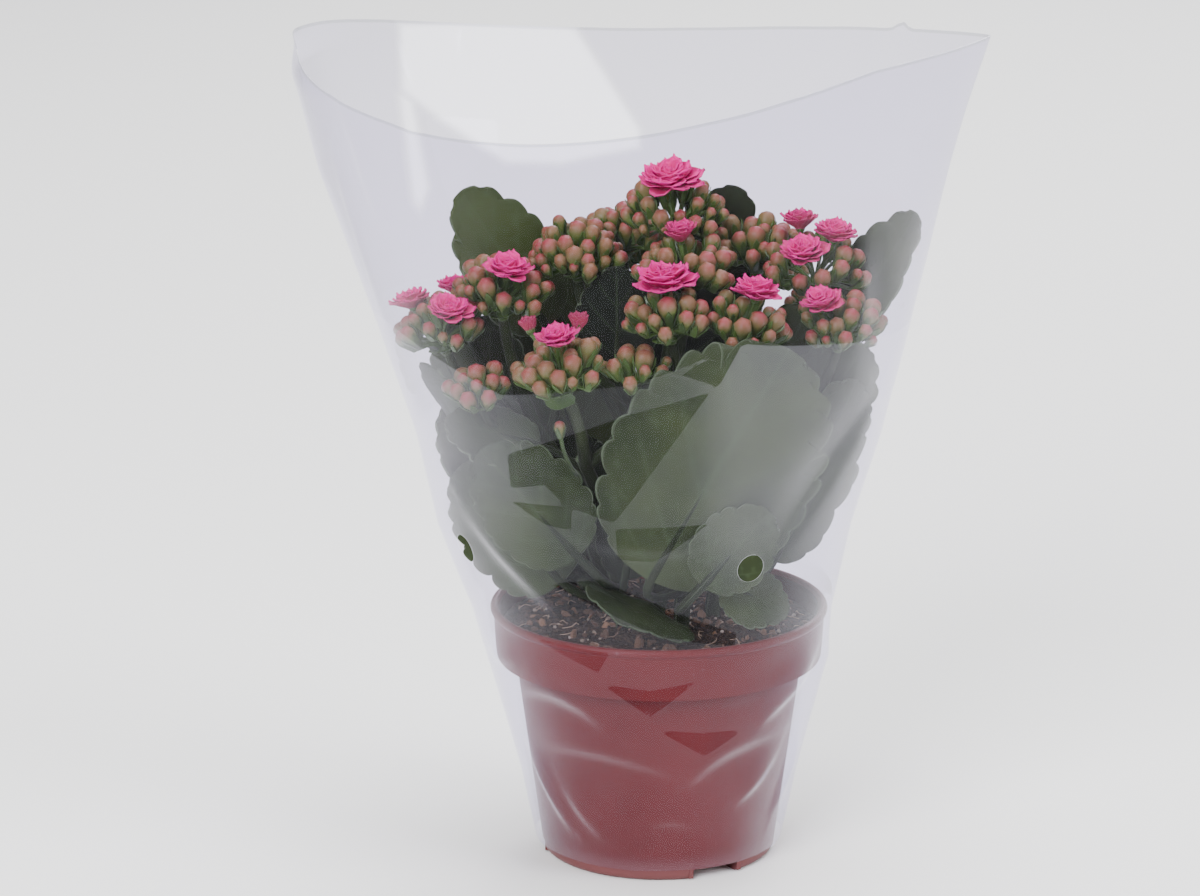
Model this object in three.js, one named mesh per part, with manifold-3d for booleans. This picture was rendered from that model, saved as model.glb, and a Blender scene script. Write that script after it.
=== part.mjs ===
// Potted kalanchoe in a clear flared sleeve.
// Millimetres, +Z up, origin at the centre of the pot's base, front towards -Y.
import * as THREE from "three";
import { mergeVertices } from "three/addons/utils/BufferGeometryUtils.js";
import Module from "manifold-3d";

const wasm = await Module();
wasm.setup();

// Driving sizes of the pot
const RIM_RADIUS = 60;
const POT_HEIGHT = 91;
const LIP_HEIGHT = 3;
const LIP_STEP = 1;
const COLLAR_HEIGHT = 19;
const COLLAR_TAPER = 1.2;
const NECK_RADIUS = 51;
const BASE_RADIUS = 41.5;
const BASE_ROUND = 3;
const BASE_EDGE = 0.8;
const BASE_EDGE_HEIGHT = 1;
const RIM_EDGE = 0.5;
const RIM_WIDTH = 2;
const LIP_SLOPE = 0.3;
const POT_WALL = 1.5;
const CHANNEL_WIDTH = 18;
const CHANNEL_HEIGHT = 4;
const CHANNEL_START = 15;
const CHANNEL_ANGLES = [-150, -30, 90];
const DRAIN_RADIUS = 3;
const DRAIN_PLACE = 29;
const DRAIN_SIDES = 8;
const ROUND_SIDES = 24;
const SOIL_SIDES = 20;

// Driving sizes of the soil and the stems
const SOIL_LEVEL = 84;
const SOIL_HEAP = 2.4;
const SOIL_ROUND = 2;
const SOIL_EDGE_DROP = 1;
const SOIL_HEAP_RADII = [42, 25];
const SOIL_UNEVEN = 1.6;
const SOIL_EVEN_RADIUS = 1;
const SOIL_DRAWS = 77;
const GAP = 0.3;
const STEM_RADIUS = 2.8;
const STEM_DEPTH = 12;
const STEM_HOLE_GAP = 0.8;
const STEM_STRAIGHT = 4;
const STEM_LEAN = 0.35;
const STEM_SAMPLES = 40;
const STALK_RADIUS = 1.7;
const STALK_START = 3;
const STALK_KNEE = 0.5;
const PETIOLE_RADIUS = 1.6;
const PETIOLE_OVERLAP = 3;
const PETIOLE_KNEE = 0.4;
const STEM_SIDES = 6;
const STEM_STEPS = 6;
const STALK_SIDES = 4;
const STALK_STEPS = 2;

// Driving sizes of leaves, buds and blooms
const LEAF_THICKNESS = 1.3;
const SCALLOP_DEPTH = 0.13;
const SCALLOP_START = 0.15;
const LOBE_ROUND = 0.6;
const BLADE_ROUND = 0.85;
const BLADE_FOOT = 0.1;
const BROAD_LEAF = 61;
const BUD_RADIUS = 3.3;
const BUD_RADIUS_RANGE = [0.84, 1.1];
const BUD_REACH_RANGE = [0.9, 1.06];
const BUD_START = 0.4;
const PEDICEL_RADIUS = 0.8;
const BUD_GAP = 0.8;
const BEAD_STEP = 2.5;
const BLOOM_BEAD = 0.48;
const HUB_BEAD = 0.35;
const LEAF_BEAD_ROWS = 16;
const LEAF_BEAD_RADIUS = 2.2;
const BUD_SIDES = 4;
const HUB_SIDES = 4;
const HUB_DEPTH = 2;
const HUB_FOOT_RADIUS = 1.5;
const HEAD_SPREAD = 76;
const BUD_SEED = [1000, 37];
const BLOOM_SEED = [500, 11];
const STALK_BEADS = 10;
const STALK_BEADS_FROM = 4;
// A bud from its hub out: radius in shares of its own, height in shares of its reach and of its radius
const BUD_PROFILE = [
  [0, 0, 0],
  [0.42, 0.62, 0],
  [1.1, 1, 0],
  [0.72, 1, 0.75],
  [0, 1, 1.05],
];
// A hub from its foot up, in shares of the head's reach: radius and height
const HUB_PROFILE = [
  [0.34, 0.22],
  [0.26, 0.5],
  [0, 0.62],
];
const BLOOM_UPRIGHT = 0.25;
const PETAL_THICKNESS = 0.75;
const PETAL_NOTCH = 0.78;
const PETALS = 5;
const BLOOM_LAYERS = [
  { reach: 1, height: 0.06, turn: 0, throat: 0.5, floor: -0.1 },
  { reach: 0.8, height: 0.36, turn: 1, throat: 0.32, floor: 0.12 },
  { reach: 0.5, height: 0.56, turn: 1.5 },
];
const BLOOM_FOOT = -0.5;
const BLOOM_HEART = 0.32;
const GOLDEN_ANGLE = Math.PI * (3 - Math.sqrt(5));

// Driving sizes of the sleeve: heights with the reach to the left, to the right and to front and back
const SLEEVE_SECTIONS = [
  { z: 5, left: 44.2, right: 44.2, depth: 44.2 },
  { z: 30, left: 49.5, right: 49.5, depth: 49.5 },
  { z: 71, left: 61, right: 60.2, depth: 60.2 },
  { z: 91, left: 66.5, right: 61.4, depth: 63.5 },
  { z: 122, left: 79, right: 68.5, depth: 69 },
  { z: 155, left: 86, right: 78.5, depth: 76 },
  { z: 195, left: 99, right: 88, depth: 84 },
  { z: 250, left: 119, right: 101, depth: 90 },
  { z: 297, left: 132, right: 114, depth: 94 },
];
const SLEEVE_WALL = 0.8;
const SLEEVE_MID_HEIGHT = 280;
const SLEEVE_SEAM_HEIGHT = 296;
const SLEEVE_FRONT_TILT = 18;
const SLEEVE_PINCH = 0.7;
const SLEEVE_PINCH_FROM = 175;
const SLEEVE_PINCH_TO = 272;
const SLEEVE_SIDES = 24;
const SLEEVE_MITRE_LIMIT = 0.4;
const SLEEVE_ROWS = [0, 0.245, 0.32, 0.44, 0.56, 0.7, 0.85, 1];
const VENT_RADIUS = 5;
const VENT_SIDES = 8;
const VENT_PUNCH = 40;
const VENT_REACH = 75;
const VENT_HEIGHT = 121;
const VENT_ANGLES = [-62, 208, 152, 28];

// Stems: foot in the soil and top, with the leaves and heads they carry
const STEMS = [
  { name: "stem_front_left", foot: [-13, -13], top: [-27, -29, 152] },
  { name: "stem_front_right", foot: [8, -16], top: [12, -26, 154] },
  { name: "stem_left", foot: [-18, 5], top: [-45, 4, 156] },
  { name: "stem_right", foot: [19, 1], top: [40, 2, 156] },
  { name: "stem_middle", foot: [0, 3], top: [0, 6, 166] },
  { name: "stem_back", foot: [1, 21], top: [0, 34, 152] },
];

// Leaves: where the blade starts and ends, which way its face looks, its width,
// the lobes along each side, how far its edges and its tip bend back, and where its petiole leaves the stem
const LEAVES = [
  { stem: "stem_front_right", base: [-3, -47, 113], tip: [44, -58, 198], face: [0.1, -1, 0.1],
    width: 75, lobes: 6, cup: 11, curl: 1, from: 100 },
  { stem: "stem_front_left", base: [-28, -46, 121], tip: [-62, -38, 157], face: [-0.4, -0.85, 0.4],
    width: 39, lobes: 5, cup: 4, curl: 1, from: 101 },
  { stem: "stem_front_left", base: [-42, -29, 156], tip: [-74, -27, 166], face: [-0.1, -0.5, 0.85],
    width: 28, lobes: 4, cup: 2, curl: 2, from: 144 },
  { stem: "stem_left", base: [-61, 1, 139], tip: [-83, -3, 179], face: [-0.85, -0.4, 0.2],
    width: 37, lobes: 5, cup: 4, curl: 0, from: 118 },
  { stem: "stem_front_left", base: [-34, -30, 107], tip: [-70, -17, 145], face: [-0.6, -0.65, 0.35],
    width: 47, lobes: 5, cup: 4, curl: 0, from: 98 },
  { stem: "stem_left", base: [-40, 20, 186], tip: [-69, 20, 236], face: [0.3, -0.8, 0.5],
    width: 38, lobes: 4, cup: -3, curl: 2, from: 148 },
  { stem: "stem_middle", base: [-15, -3, 176], tip: [-15, -6, 214], face: [0.1, -0.95, 0.3],
    width: 30, lobes: 4, cup: 2, curl: 2, from: 152 },
  { stem: "stem_middle", base: [14, 31, 192], tip: [27, 29, 235], face: [0, -0.9, 0.4],
    width: 30, lobes: 4, cup: 2, curl: 2, from: 158 },
  { stem: "stem_right", base: [62, 14, 184], tip: [90, 6, 231], face: [-0.6, -0.65, 0.5],
    width: 30, lobes: 4, cup: -3, curl: 0, from: 146 },
  { stem: "stem_right", base: [45, -10, 151], tip: [72, -10, 187], face: [0.2, -0.9, 0.35],
    width: 34, lobes: 4, cup: 3, curl: 1, from: 128 },
  { stem: "stem_right", base: [40, -24, 113], tip: [69, -14, 176], face: [0.6, -0.75, 0.15],
    width: 42, lobes: 5, cup: 4, curl: 0, from: 100 },
  { stem: "stem_front_right", base: [15, -54, 113], tip: [38, -52, 139], face: [0.3, -0.9, 0.3],
    width: 29, lobes: 4, cup: 2, curl: 1, from: 94 },
  { stem: "stem_right", base: [22, -38, 109], tip: [45, -41, 100], face: [0.25, -0.7, 0.65],
    width: 24, lobes: 4, cup: 1, curl: 1, from: 94 },
  { stem: "stem_front_left", base: [-25, -36, 108], tip: [12, -45, 91], face: [0.1, -0.25, 1],
    width: 18, lobes: 4, cup: 2, curl: 0, from: 92 },
  { stem: "stem_right", base: [37, -2, 164], tip: [52, -3, 200], face: [0.3, -0.85, 0.4],
    width: 32, lobes: 4, cup: 2, curl: 1, from: 140 },
  { stem: "stem_middle", base: [8, 17, 168], tip: [9, 20, 213], face: [0, -0.95, 0.3],
    width: 42, lobes: 4, cup: 3, curl: 1, from: 146 },
  { stem: "stem_front_left", base: [-12, -28, 108], tip: [-6, -34, 150], face: [0, -1, 0.1],
    width: 26, lobes: 4, cup: 2, curl: 0, from: 96 },
  { stem: "stem_back", base: [-22, 43, 112], tip: [-46, 54, 182], face: [-0.35, 0.9, 0.15],
    width: 60, lobes: 5, cup: 7, curl: 0, from: 98 },
  { stem: "stem_back", base: [20, 44, 112], tip: [42, 53, 178], face: [0.4, 0.85, 0.15],
    width: 58, lobes: 5, cup: 7, curl: 0, from: 104 },
  { stem: "stem_back", base: [-1, 53, 108], tip: [-2, 64, 156], face: [0, 0.95, 0.2],
    width: 42, lobes: 5, cup: 5, curl: 0, from: 92 },
  { stem: "stem_left", base: [-52, 20, 108], tip: [-76, 20, 158], face: [-0.8, 0.55, 0.2],
    width: 40, lobes: 5, cup: 4, curl: 0, from: 96 },
  { stem: "stem_right", base: [48, 20, 110], tip: [67, 19, 160], face: [0.8, 0.5, 0.2],
    width: 40, lobes: 5, cup: 4, curl: 0, from: 94 },
  { stem: "stem_left", base: [-54, 26, 156], tip: [-76, 36, 186], face: [-0.4, 0.8, 0.5],
    width: 34, lobes: 4, cup: 3, curl: 0, from: 134 },
  { stem: "stem_right", base: [46, 28, 146], tip: [60, 34, 177], face: [0.4, 0.8, 0.5],
    width: 32, lobes: 4, cup: 3, curl: 0, from: 128 },
  { stem: "stem_back", base: [14, 54, 160], tip: [18, 64, 200], face: [0.1, 0.9, 0.4],
    width: 38, lobes: 4, cup: 3, curl: 0, from: 138 },
  { stem: "stem_back", base: [-22, 52, 164], tip: [-26, 63, 202], face: [-0.1, 0.9, 0.4],
    width: 36, lobes: 4, cup: 3, curl: 0, from: 132 },
  { stem: "stem_left", base: [-26, 14, 93], tip: [-30, 20, 148], face: [0, -1, 0.15],
    width: 34, lobes: 2, cup: 2, curl: 0, from: 90 },
  { stem: "stem_right", base: [26, 14, 93], tip: [32, 20, 150], face: [0, -1, 0.15],
    width: 34, lobes: 2, cup: 2, curl: 0, from: 90 },
];

// Flower heads: the hub where the pedicels part, the way the head looks,
// how far the buds stand from the hub, and how many there are places for
const HEADS = [
  { name: "crown", stem: "stem_middle", hub: [6, 8, 222], look: [0, -0.1, 1],
    reach: 20, buds: 13 },
  { name: "upper_front", stem: "stem_middle", hub: [9, -13, 208], look: [0, -0.4, 1],
    reach: 19, buds: 12 },
  { name: "front_a", stem: "stem_front_right", hub: [4, -33, 196], look: [-0.2, -0.3, 1],
    reach: 17, buds: 11 },
  { name: "front_b", stem: "stem_front_right", hub: [28, -33, 193], look: [0.3, -0.3, 1],
    reach: 17, buds: 11 },
  { name: "low_front_left", stem: "stem_front_left", hub: [-32, -45, 180], look: [-0.35, -0.3, 1],
    reach: 18, buds: 14 },
  { name: "low_front", stem: "stem_front_left", hub: [-8, -37, 179], look: [0.05, -0.35, 1],
    reach: 14, buds: 9 },
  { name: "left_outer", stem: "stem_left", hub: [-75, -9, 186], look: [-0.3, -0.3, 1],
    reach: 18, buds: 12 },
  { name: "left_upper", stem: "stem_left", hub: [-55, -4, 197], look: [-0.1, -0.3, 1],
    reach: 19, buds: 13 },
  { name: "left_low", stem: "stem_front_left", hub: [-62, -28, 171], look: [-0.3, -0.4, 1],
    reach: 12, buds: 6 },
  { name: "top_left", stem: "stem_middle", hub: [-29, 9, 208], look: [-0.1, -0.2, 1],
    reach: 19, buds: 14 },
  { name: "top_middle", stem: "stem_middle", hub: [-13, 29, 210], look: [-0.1, 0.1, 1],
    reach: 17, buds: 11 },
  { name: "top_right", stem: "stem_right", hub: [34, 20, 207], look: [0.1, 0, 1],
    reach: 18, buds: 13 },
  { name: "right_upper", stem: "stem_right", hub: [54, 0, 205], look: [0.1, -0.3, 1],
    reach: 20, buds: 13 },
  { name: "right_low", stem: "stem_right", hub: [62, -20, 190], look: [0.2, -0.3, 1],
    reach: 17, buds: 11 },
  { name: "back_left", stem: "stem_back", hub: [-40, 41, 195], look: [-0.3, 0.3, 1],
    reach: 17, buds: 9 },
  { name: "back_middle", stem: "stem_back", hub: [-3, 52, 196], look: [0, 0.4, 1],
    reach: 17, buds: 9 },
  { name: "back_right", stem: "stem_back", hub: [36, 48, 193], look: [0.3, 0.4, 1],
    reach: 17, buds: 9 },
  { name: "far_left", stem: "stem_left", hub: [-68, 22, 184], look: [-0.4, 0.2, 1],
    reach: 16, buds: 8 },
  { name: "far_right", stem: "stem_right", hub: [57, 26, 185], look: [0.2, 0.3, 1],
    reach: 15, buds: 8 },
];

// Blooms: the head that carries it, its middle, and its width across
const BLOOMS = [
  { head: "crown", at: [3, -1, 245], size: 21 },
  { head: "upper_front", at: [7, -15, 229], size: 16 },
  { head: "front_a", at: [2, -35, 217], size: 18 },
  { head: "front_b", at: [33, -34, 213], size: 17 },
  { head: "low_front_left", at: [-35, -54, 201], size: 16 },
  { head: "low_front_left", at: [-45, -39, 202], size: 13 },
  { head: "low_front_left", at: [-28, -38, 203], size: 14 },
  { head: "left_outer", at: [-87, -5, 202], size: 15 },
  { head: "left_outer", at: [-73, -22, 203], size: 16 },
  { head: "left_upper", at: [-53, -15, 216], size: 17 },
  { head: "right_upper", at: [49, 8, 228], size: 16 },
  { head: "right_upper", at: [61, -2, 226], size: 17 },
  { head: "right_upper", at: [50, -13, 222], size: 17 },
  { head: "right_low", at: [56, -29, 208], size: 16 },
  { head: "back_left", at: [-46, 48, 212], size: 16 },
  { head: "back_middle", at: [-3, 60, 213], size: 17 },
  { head: "back_right", at: [42, 56, 209], size: 16 },
  { head: "back_right", at: [30, 44, 211], size: 15 },
  { head: "far_left", at: [-72, 28, 199], size: 15 },
  { head: "far_right", at: [64, 30, 199], size: 15 },
];

// Small tools
const vector = (list) => new THREE.Vector3(...list);
const radians = THREE.MathUtils.degToRad;

// A repeatable row of draws between 0 and 1
function drawsFrom(seed) {
  let state = seed;
  return () => {
    state = (state * 16807) % 2147483647;
    return state / 2147483647;
  };
}

function solidOf(positions, triangles) {
  return new wasm.Manifold(
    new wasm.Mesh({
      numProp: 3,
      vertProperties: new Float32Array(positions),
      triVerts: new Uint32Array(triangles),
    }),
  );
}

// A closed three.js geometry as a solid: shared vertices are merged and empty triangles left out
function solidFrom(geometry) {
  const bare = geometry.clone();
  bare.deleteAttribute("normal");
  bare.deleteAttribute("uv");
  const merged = mergeVertices(bare, 1e-4);
  const index = [...merged.index.array];
  const triangles = [];
  for (let i = 0; i < index.length; i += 3) {
    const [a, b, c] = index.slice(i, i + 3);
    if (a !== b && b !== c && c !== a) triangles.push(a, b, c);
  }
  return solidOf(merged.attributes.position.array, triangles);
}

function geometryOf(solid) {
  const mesh = solid.getMesh();
  const geometry = new THREE.BufferGeometry();
  geometry.setAttribute("position", new THREE.BufferAttribute(mesh.vertProperties, 3));
  geometry.setIndex(new THREE.BufferAttribute(mesh.triVerts, 1));
  geometry.computeVertexNormals();
  return geometry;
}

const fuse = (solids) => solids.reduce((whole, next) => whole.add(next));

// A profile of [radius, height] points turned about the Z axis
function turned(profile, sides) {
  const points = profile.map(([radius, height]) => new THREE.Vector2(radius, height));
  return new THREE.LatheGeometry(points, sides).rotateX(Math.PI / 2);
}

// A profile turned about its own axis and set with that axis from a point along a direction
function turnedAlong(profile, sides, start, direction) {
  const turn = new THREE.Quaternion().setFromUnitVectors(new THREE.Vector3(0, 0, 1), direction);
  return turned(profile, sides).applyQuaternion(turn).translate(start.x, start.y, start.z);
}

// A round rod of a few sides along a curve
function rod(curve, radius, sides, steps) {
  const section = new THREE.Shape();
  for (let i = 0; i < sides; i++) {
    const angle = (2 * Math.PI * i) / sides;
    const place = [radius * Math.cos(angle), radius * Math.sin(angle)];
    if (i === 0) section.moveTo(...place);
    else section.lineTo(...place);
  }
  return new THREE.ExtrudeGeometry(section, { steps, extrudePath: curve, bevelEnabled: false });
}

// A thin solid from a patch of points: the same triangles on both faces, walls along its rim
function thickened(points, triangles, rim, offset) {
  const positions = [];
  for (const side of [0.5, -0.5]) {
    for (const point of points) {
      positions.push(...point.clone().addScaledVector(offset, side).toArray());
    }
  }
  const count = points.length;
  const faces = [];
  for (const [a, b, c] of triangles) {
    faces.push(a, b, c, a + count, c + count, b + count);
  }
  rim.forEach((a, i) => {
    const b = rim[(i + 1) % rim.length];
    faces.push(a, a + count, b + count, a, b + count, b);
  });
  return solidOf(positions, faces);
}

// Pot
function potProfile() {
  const collarFoot = POT_HEIGHT - COLLAR_HEIGHT;
  const lipFoot = POT_HEIGHT - LIP_HEIGHT;
  const collarTop = RIM_RADIUS - LIP_STEP;
  const collarLow = collarTop - COLLAR_TAPER;
  return [
    [0, 0],
    [BASE_RADIUS - BASE_ROUND, 0],
    [BASE_RADIUS - BASE_EDGE, BASE_EDGE_HEIGHT],
    [BASE_RADIUS, BASE_ROUND],
    [NECK_RADIUS, collarFoot],
    [collarLow, collarFoot],
    [collarTop, lipFoot],
    [RIM_RADIUS, lipFoot + LIP_SLOPE],
    [RIM_RADIUS, POT_HEIGHT - RIM_EDGE],
    [RIM_RADIUS - RIM_EDGE, POT_HEIGHT],
    [RIM_RADIUS - RIM_WIDTH, POT_HEIGHT],
    [collarLow - POT_WALL, collarFoot + POT_WALL],
    [NECK_RADIUS - POT_WALL, collarFoot + POT_WALL],
    [BASE_RADIUS - POT_WALL, BASE_ROUND],
    [BASE_RADIUS - 2 * POT_WALL, POT_WALL],
    [0, POT_WALL],
  ];
}

// A box lying from the base's middle part out past the wall, turned to one channel's angle
function channelBar(width, bottom, top, start, end, angle) {
  const bar = new THREE.BoxGeometry(width, end - start, top - bottom);
  bar.translate(0, (start + end) / 2, (bottom + top) / 2);
  return solidFrom(bar.rotateZ(radians(angle)));
}

function channelRidges(grow) {
  return CHANNEL_ANGLES.map((angle) =>
    channelBar(
      CHANNEL_WIDTH + 2 * (POT_WALL + grow),
      POT_WALL / 2,
      CHANNEL_HEIGHT + POT_WALL + grow,
      CHANNEL_START - POT_WALL - grow,
      BASE_RADIUS - POT_WALL / 2,
      angle,
    ),
  );
}

function makePot() {
  let pot = fuse([solidFrom(turned(potProfile(), ROUND_SIDES)), ...channelRidges(0)]);
  for (const angle of CHANNEL_ANGLES) {
    const channel = channelBar(CHANNEL_WIDTH, -1, CHANNEL_HEIGHT, CHANNEL_START, 2 * BASE_RADIUS, angle);
    const drain = new THREE.CylinderGeometry(DRAIN_RADIUS, DRAIN_RADIUS, 4 * POT_WALL, DRAIN_SIDES);
    drain.rotateX(Math.PI / 2).translate(0, DRAIN_PLACE, CHANNEL_HEIGHT + POT_WALL).rotateZ(radians(angle));
    pot = pot.subtract(channel).subtract(solidFrom(drain));
  }
  return pot;
}

// Soil: a lathe with an uneven top, with plain holes where the stems stand
function soilProfile() {
  const shelf = POT_HEIGHT - COLLAR_HEIGHT + POT_WALL;
  const wall = POT_WALL + GAP;
  const neck = NECK_RADIUS - wall - GAP;
  const collar = RIM_RADIUS - LIP_STEP - COLLAR_TAPER - wall - GAP;
  const base = BASE_RADIUS - wall;
  const [foot, crest] = SOIL_HEAP_RADII;
  return [
    [0, wall],
    [base - SOIL_ROUND, wall],
    [base - GAP, BASE_ROUND + GAP],
    [neck, shelf],
    [neck, shelf + GAP],
    [collar - GAP, shelf + GAP],
    [collar, SOIL_LEVEL - SOIL_EDGE_DROP],
    [foot, SOIL_LEVEL + SOIL_HEAP / 2],
    [crest, SOIL_LEVEL + SOIL_HEAP],
    [0, SOIL_LEVEL + SOIL_HEAP],
  ];
}

// Each point of the soil's heap is lifted or lowered by a draw, once for all the corners that meet in it
function makeSoil() {
  const draw = drawsFrom(SOIL_DRAWS);
  const body = turned(soilProfile(), SOIL_SIDES);
  const place = body.attributes.position;
  const lifted = new Map();
  for (let i = 0; i < place.count; i++) {
    const radius = Math.hypot(place.getX(i), place.getY(i));
    const onHeap = place.getZ(i) >= SOIL_LEVEL && radius > SOIL_EVEN_RADIUS;
    if (!onHeap) continue;
    const key = `${Math.round(10 * place.getX(i))} ${Math.round(10 * place.getY(i))}`;
    if (!lifted.has(key)) lifted.set(key, place.getZ(i) + SOIL_UNEVEN * (draw() - 0.5));
    place.setZ(i, lifted.get(key));
  }
  let soil = solidFrom(body);
  for (const ridge of channelRidges(GAP)) soil = soil.subtract(ridge);
  const holeRadius = STEM_RADIUS + STEM_HOLE_GAP;
  for (const stem of STEMS) {
    const hole = new THREE.CylinderGeometry(holeRadius, holeRadius, 2 * STEM_DEPTH, STEM_SIDES);
    hole.rotateX(Math.PI / 2).translate(stem.foot[0], stem.foot[1], SOIL_LEVEL);
    soil = soil.subtract(solidFrom(hole));
  }
  return soil;
}

// Stems, stalks and petioles
const stemNamed = (name) => STEMS.find((stem) => stem.name === name);

function stemCurve(stem) {
  const [x, y] = stem.foot;
  const foot = new THREE.Vector3(x, y, SOIL_LEVEL - STEM_DEPTH + GAP);
  const soilTop = new THREE.Vector3(x, y, SOIL_LEVEL + STEM_STRAIGHT);
  const top = vector(stem.top);
  const shoulder = new THREE.Vector3(x, y, (SOIL_LEVEL + top.z) / 2).lerp(top, STEM_LEAN);
  const path = new THREE.CurvePath();
  path.add(new THREE.LineCurve3(foot, soilTop));
  path.add(new THREE.QuadraticBezierCurve3(soilTop, shoulder, top));
  return path;
}

// The point of a stem's curved part nearest to a height
function stemPoint(stem, height) {
  const bend = stemCurve(stem).curves[1];
  let best = bend.getPoint(0);
  for (let i = 1; i <= STEM_SAMPLES; i++) {
    const point = bend.getPoint(i / STEM_SAMPLES);
    if (Math.abs(point.z - height) < Math.abs(best.z - height)) best = point;
  }
  return best;
}

// Leaf blades
function leafFrame(leaf) {
  const base = vector(leaf.base);
  const along = vector(leaf.tip).sub(base);
  const length = along.length();
  along.normalize();
  const face = vector(leaf.face);
  face.addScaledVector(along, -face.dot(along)).normalize();
  const across = new THREE.Vector3().crossVectors(along, face);
  return { base, along, face, across, length };
}

// Half width and distance from the base at q, from 0 at the base to 1 at the tip, with scalloped lobes
function leafEdge(leaf, length, q) {
  const round = Math.sin(Math.PI * q) ** BLADE_ROUND * (1 + BLADE_FOOT * Math.cos(Math.PI * q));
  const lobe = Math.abs(Math.sin(Math.PI * leaf.lobes * q)) ** LOBE_ROUND;
  const scallop = 1 + SCALLOP_DEPTH * (lobe - 1) * Math.min(1, q / SCALLOP_START);
  const half = 0.5 * leaf.width * round * scallop;
  const rise = length * (0.5 - 0.5 * Math.cos(Math.PI * q)) * (q > 0.5 ? scallop : 1);
  return { half, rise };
}

// The middle surface of a blade: a point s across and t along
function bladePoint(leaf, frame, s, t) {
  const out = t / frame.length;
  const side = (2 * s) / leaf.width;
  const depth = leaf.cup * side * side + leaf.curl * out * out;
  return frame.base
    .clone()
    .addScaledVector(frame.across, s)
    .addScaledVector(frame.along, t)
    .addScaledVector(frame.face, -depth);
}

function makeBlade(leaf) {
  const frame = leafFrame(leaf);
  const points = [];
  const rises = [];
  const put = (s, t) => {
    rises.push(t);
    return points.push(bladePoint(leaf, frame, s, t)) - 1;
  };
  const foot = put(0, 0);
  const tipEdge = leafEdge(leaf, frame.length, 1);
  const phases = leaf.width > BROAD_LEAF ? [0.25, 0.75, 1] : [0.5, 1];
  const rims = [1, -1].map((side) => {
    const chain = [foot];
    for (let lobe = 0; lobe < leaf.lobes; lobe++) {
      for (const phase of phases) {
        if (lobe === leaf.lobes - 1 && phase === 1) continue;
        const edge = leafEdge(leaf, frame.length, (lobe + phase) / leaf.lobes);
        chain.push(put(side * edge.half, edge.rise));
      }
    }
    return chain;
  });
  const middle = [foot];
  for (let lobe = 1; lobe < leaf.lobes; lobe++) {
    middle.push(put(0, (frame.length * lobe) / leaf.lobes));
  }
  const tip = put(0, tipEdge.rise);
  for (const chain of [...rims, middle]) chain.push(tip);
  const triangles = [];
  rims.forEach((rim, side) => {
    let i = 0;
    let j = 0;
    while (i < middle.length - 1 || j < rim.length - 1) {
      const rimNext = j < rim.length - 1 ? rises[rim[j + 1]] : Infinity;
      const middleNext = i < middle.length - 1 ? rises[middle[i + 1]] : Infinity;
      const onRim = rimNext <= middleNext;
      const third = onRim ? rim[j + 1] : middle[i + 1];
      const corner = [middle[i], rim[j], third];
      if (new Set(corner).size === 3) {
        triangles.push(side === 0 ? corner : [corner[0], corner[2], corner[1]]);
      }
      if (onRim) j += 1;
      else i += 1;
    }
  });
  const rim = [...rims[0], ...rims[1].slice(1, -1).reverse()];
  return thickened(points, triangles, rim, frame.face.clone().multiplyScalar(LEAF_THICKNESS));
}

function makePetiole(leaf) {
  const frame = leafFrame(leaf);
  const start = stemPoint(stemNamed(leaf.stem), leaf.from);
  const end = frame.base.clone().addScaledVector(frame.along, PETIOLE_OVERLAP);
  const reach = start.distanceTo(end);
  const knee = frame.base.clone().addScaledVector(frame.along, -PETIOLE_KNEE * reach);
  const bend = new THREE.QuadraticBezierCurve3(start, knee, end);
  return solidFrom(rod(bend, PETIOLE_RADIUS, STALK_SIDES, STALK_STEPS));
}

// Flower stalks run from the top of their stem to just under the hub of their head
function headLook(head) {
  return vector(head.look).normalize();
}

function stalkEnd(head) {
  return vector(head.hub).addScaledVector(headLook(head), -HUB_DEPTH - GAP);
}

function stalkCurve(head) {
  const stem = stemNamed(head.stem);
  const top = stemPoint(stem, stem.top[2] - STALK_START);
  const end = stalkEnd(head);
  const knee = end.clone().addScaledVector(headLook(head), -STALK_KNEE * top.distanceTo(end));
  return new THREE.QuadraticBezierCurve3(top, knee, end);
}

function makeStem(stem) {
  const pieces = [solidFrom(rod(stemCurve(stem), STEM_RADIUS, STEM_SIDES, STEM_STEPS))];
  for (const head of HEADS.filter((head) => head.stem === stem.name)) {
    pieces.push(solidFrom(rod(stalkCurve(head), STALK_RADIUS, STALK_SIDES, STALK_STEPS)));
  }
  for (const leaf of LEAVES.filter((leaf) => leaf.stem === stem.name)) {
    pieces.push(makePetiole(leaf), makeBlade(leaf));
  }
  return fuse(pieces);
}

// Buds and blooms: each is told as beads along its pedicel, so that those of different heads stay clear
function beadChain(start, end, thin, thick) {
  const beads = [];
  const count = Math.ceil(start.distanceTo(end) / BEAD_STEP);
  for (let i = 1; i <= count; i++) {
    const part = i / count;
    beads.push({ at: start.clone().lerp(end, part), radius: Math.max(thin, thick * part) });
  }
  return beads;
}

function clearOf(beads, others, gap) {
  return beads.every((bead) =>
    others.every((other) => bead.at.distanceTo(other.at) > bead.radius + other.radius + gap),
  );
}

// Points all over a blade, each wide enough to cover its share
function leafBeads(leaf) {
  const frame = leafFrame(leaf);
  const beads = [];
  for (let row = 1; row < LEAF_BEAD_ROWS; row++) {
    const edge = leafEdge(leaf, frame.length, row / LEAF_BEAD_ROWS);
    for (let part = -LEAF_BEAD_ROWS / 2; part <= LEAF_BEAD_ROWS / 2; part++) {
      const across = (2 * part * edge.half) / LEAF_BEAD_ROWS;
      beads.push({ at: bladePoint(leaf, frame, across, edge.rise), radius: LEAF_BEAD_RADIUS });
    }
  }
  return beads;
}

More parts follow.
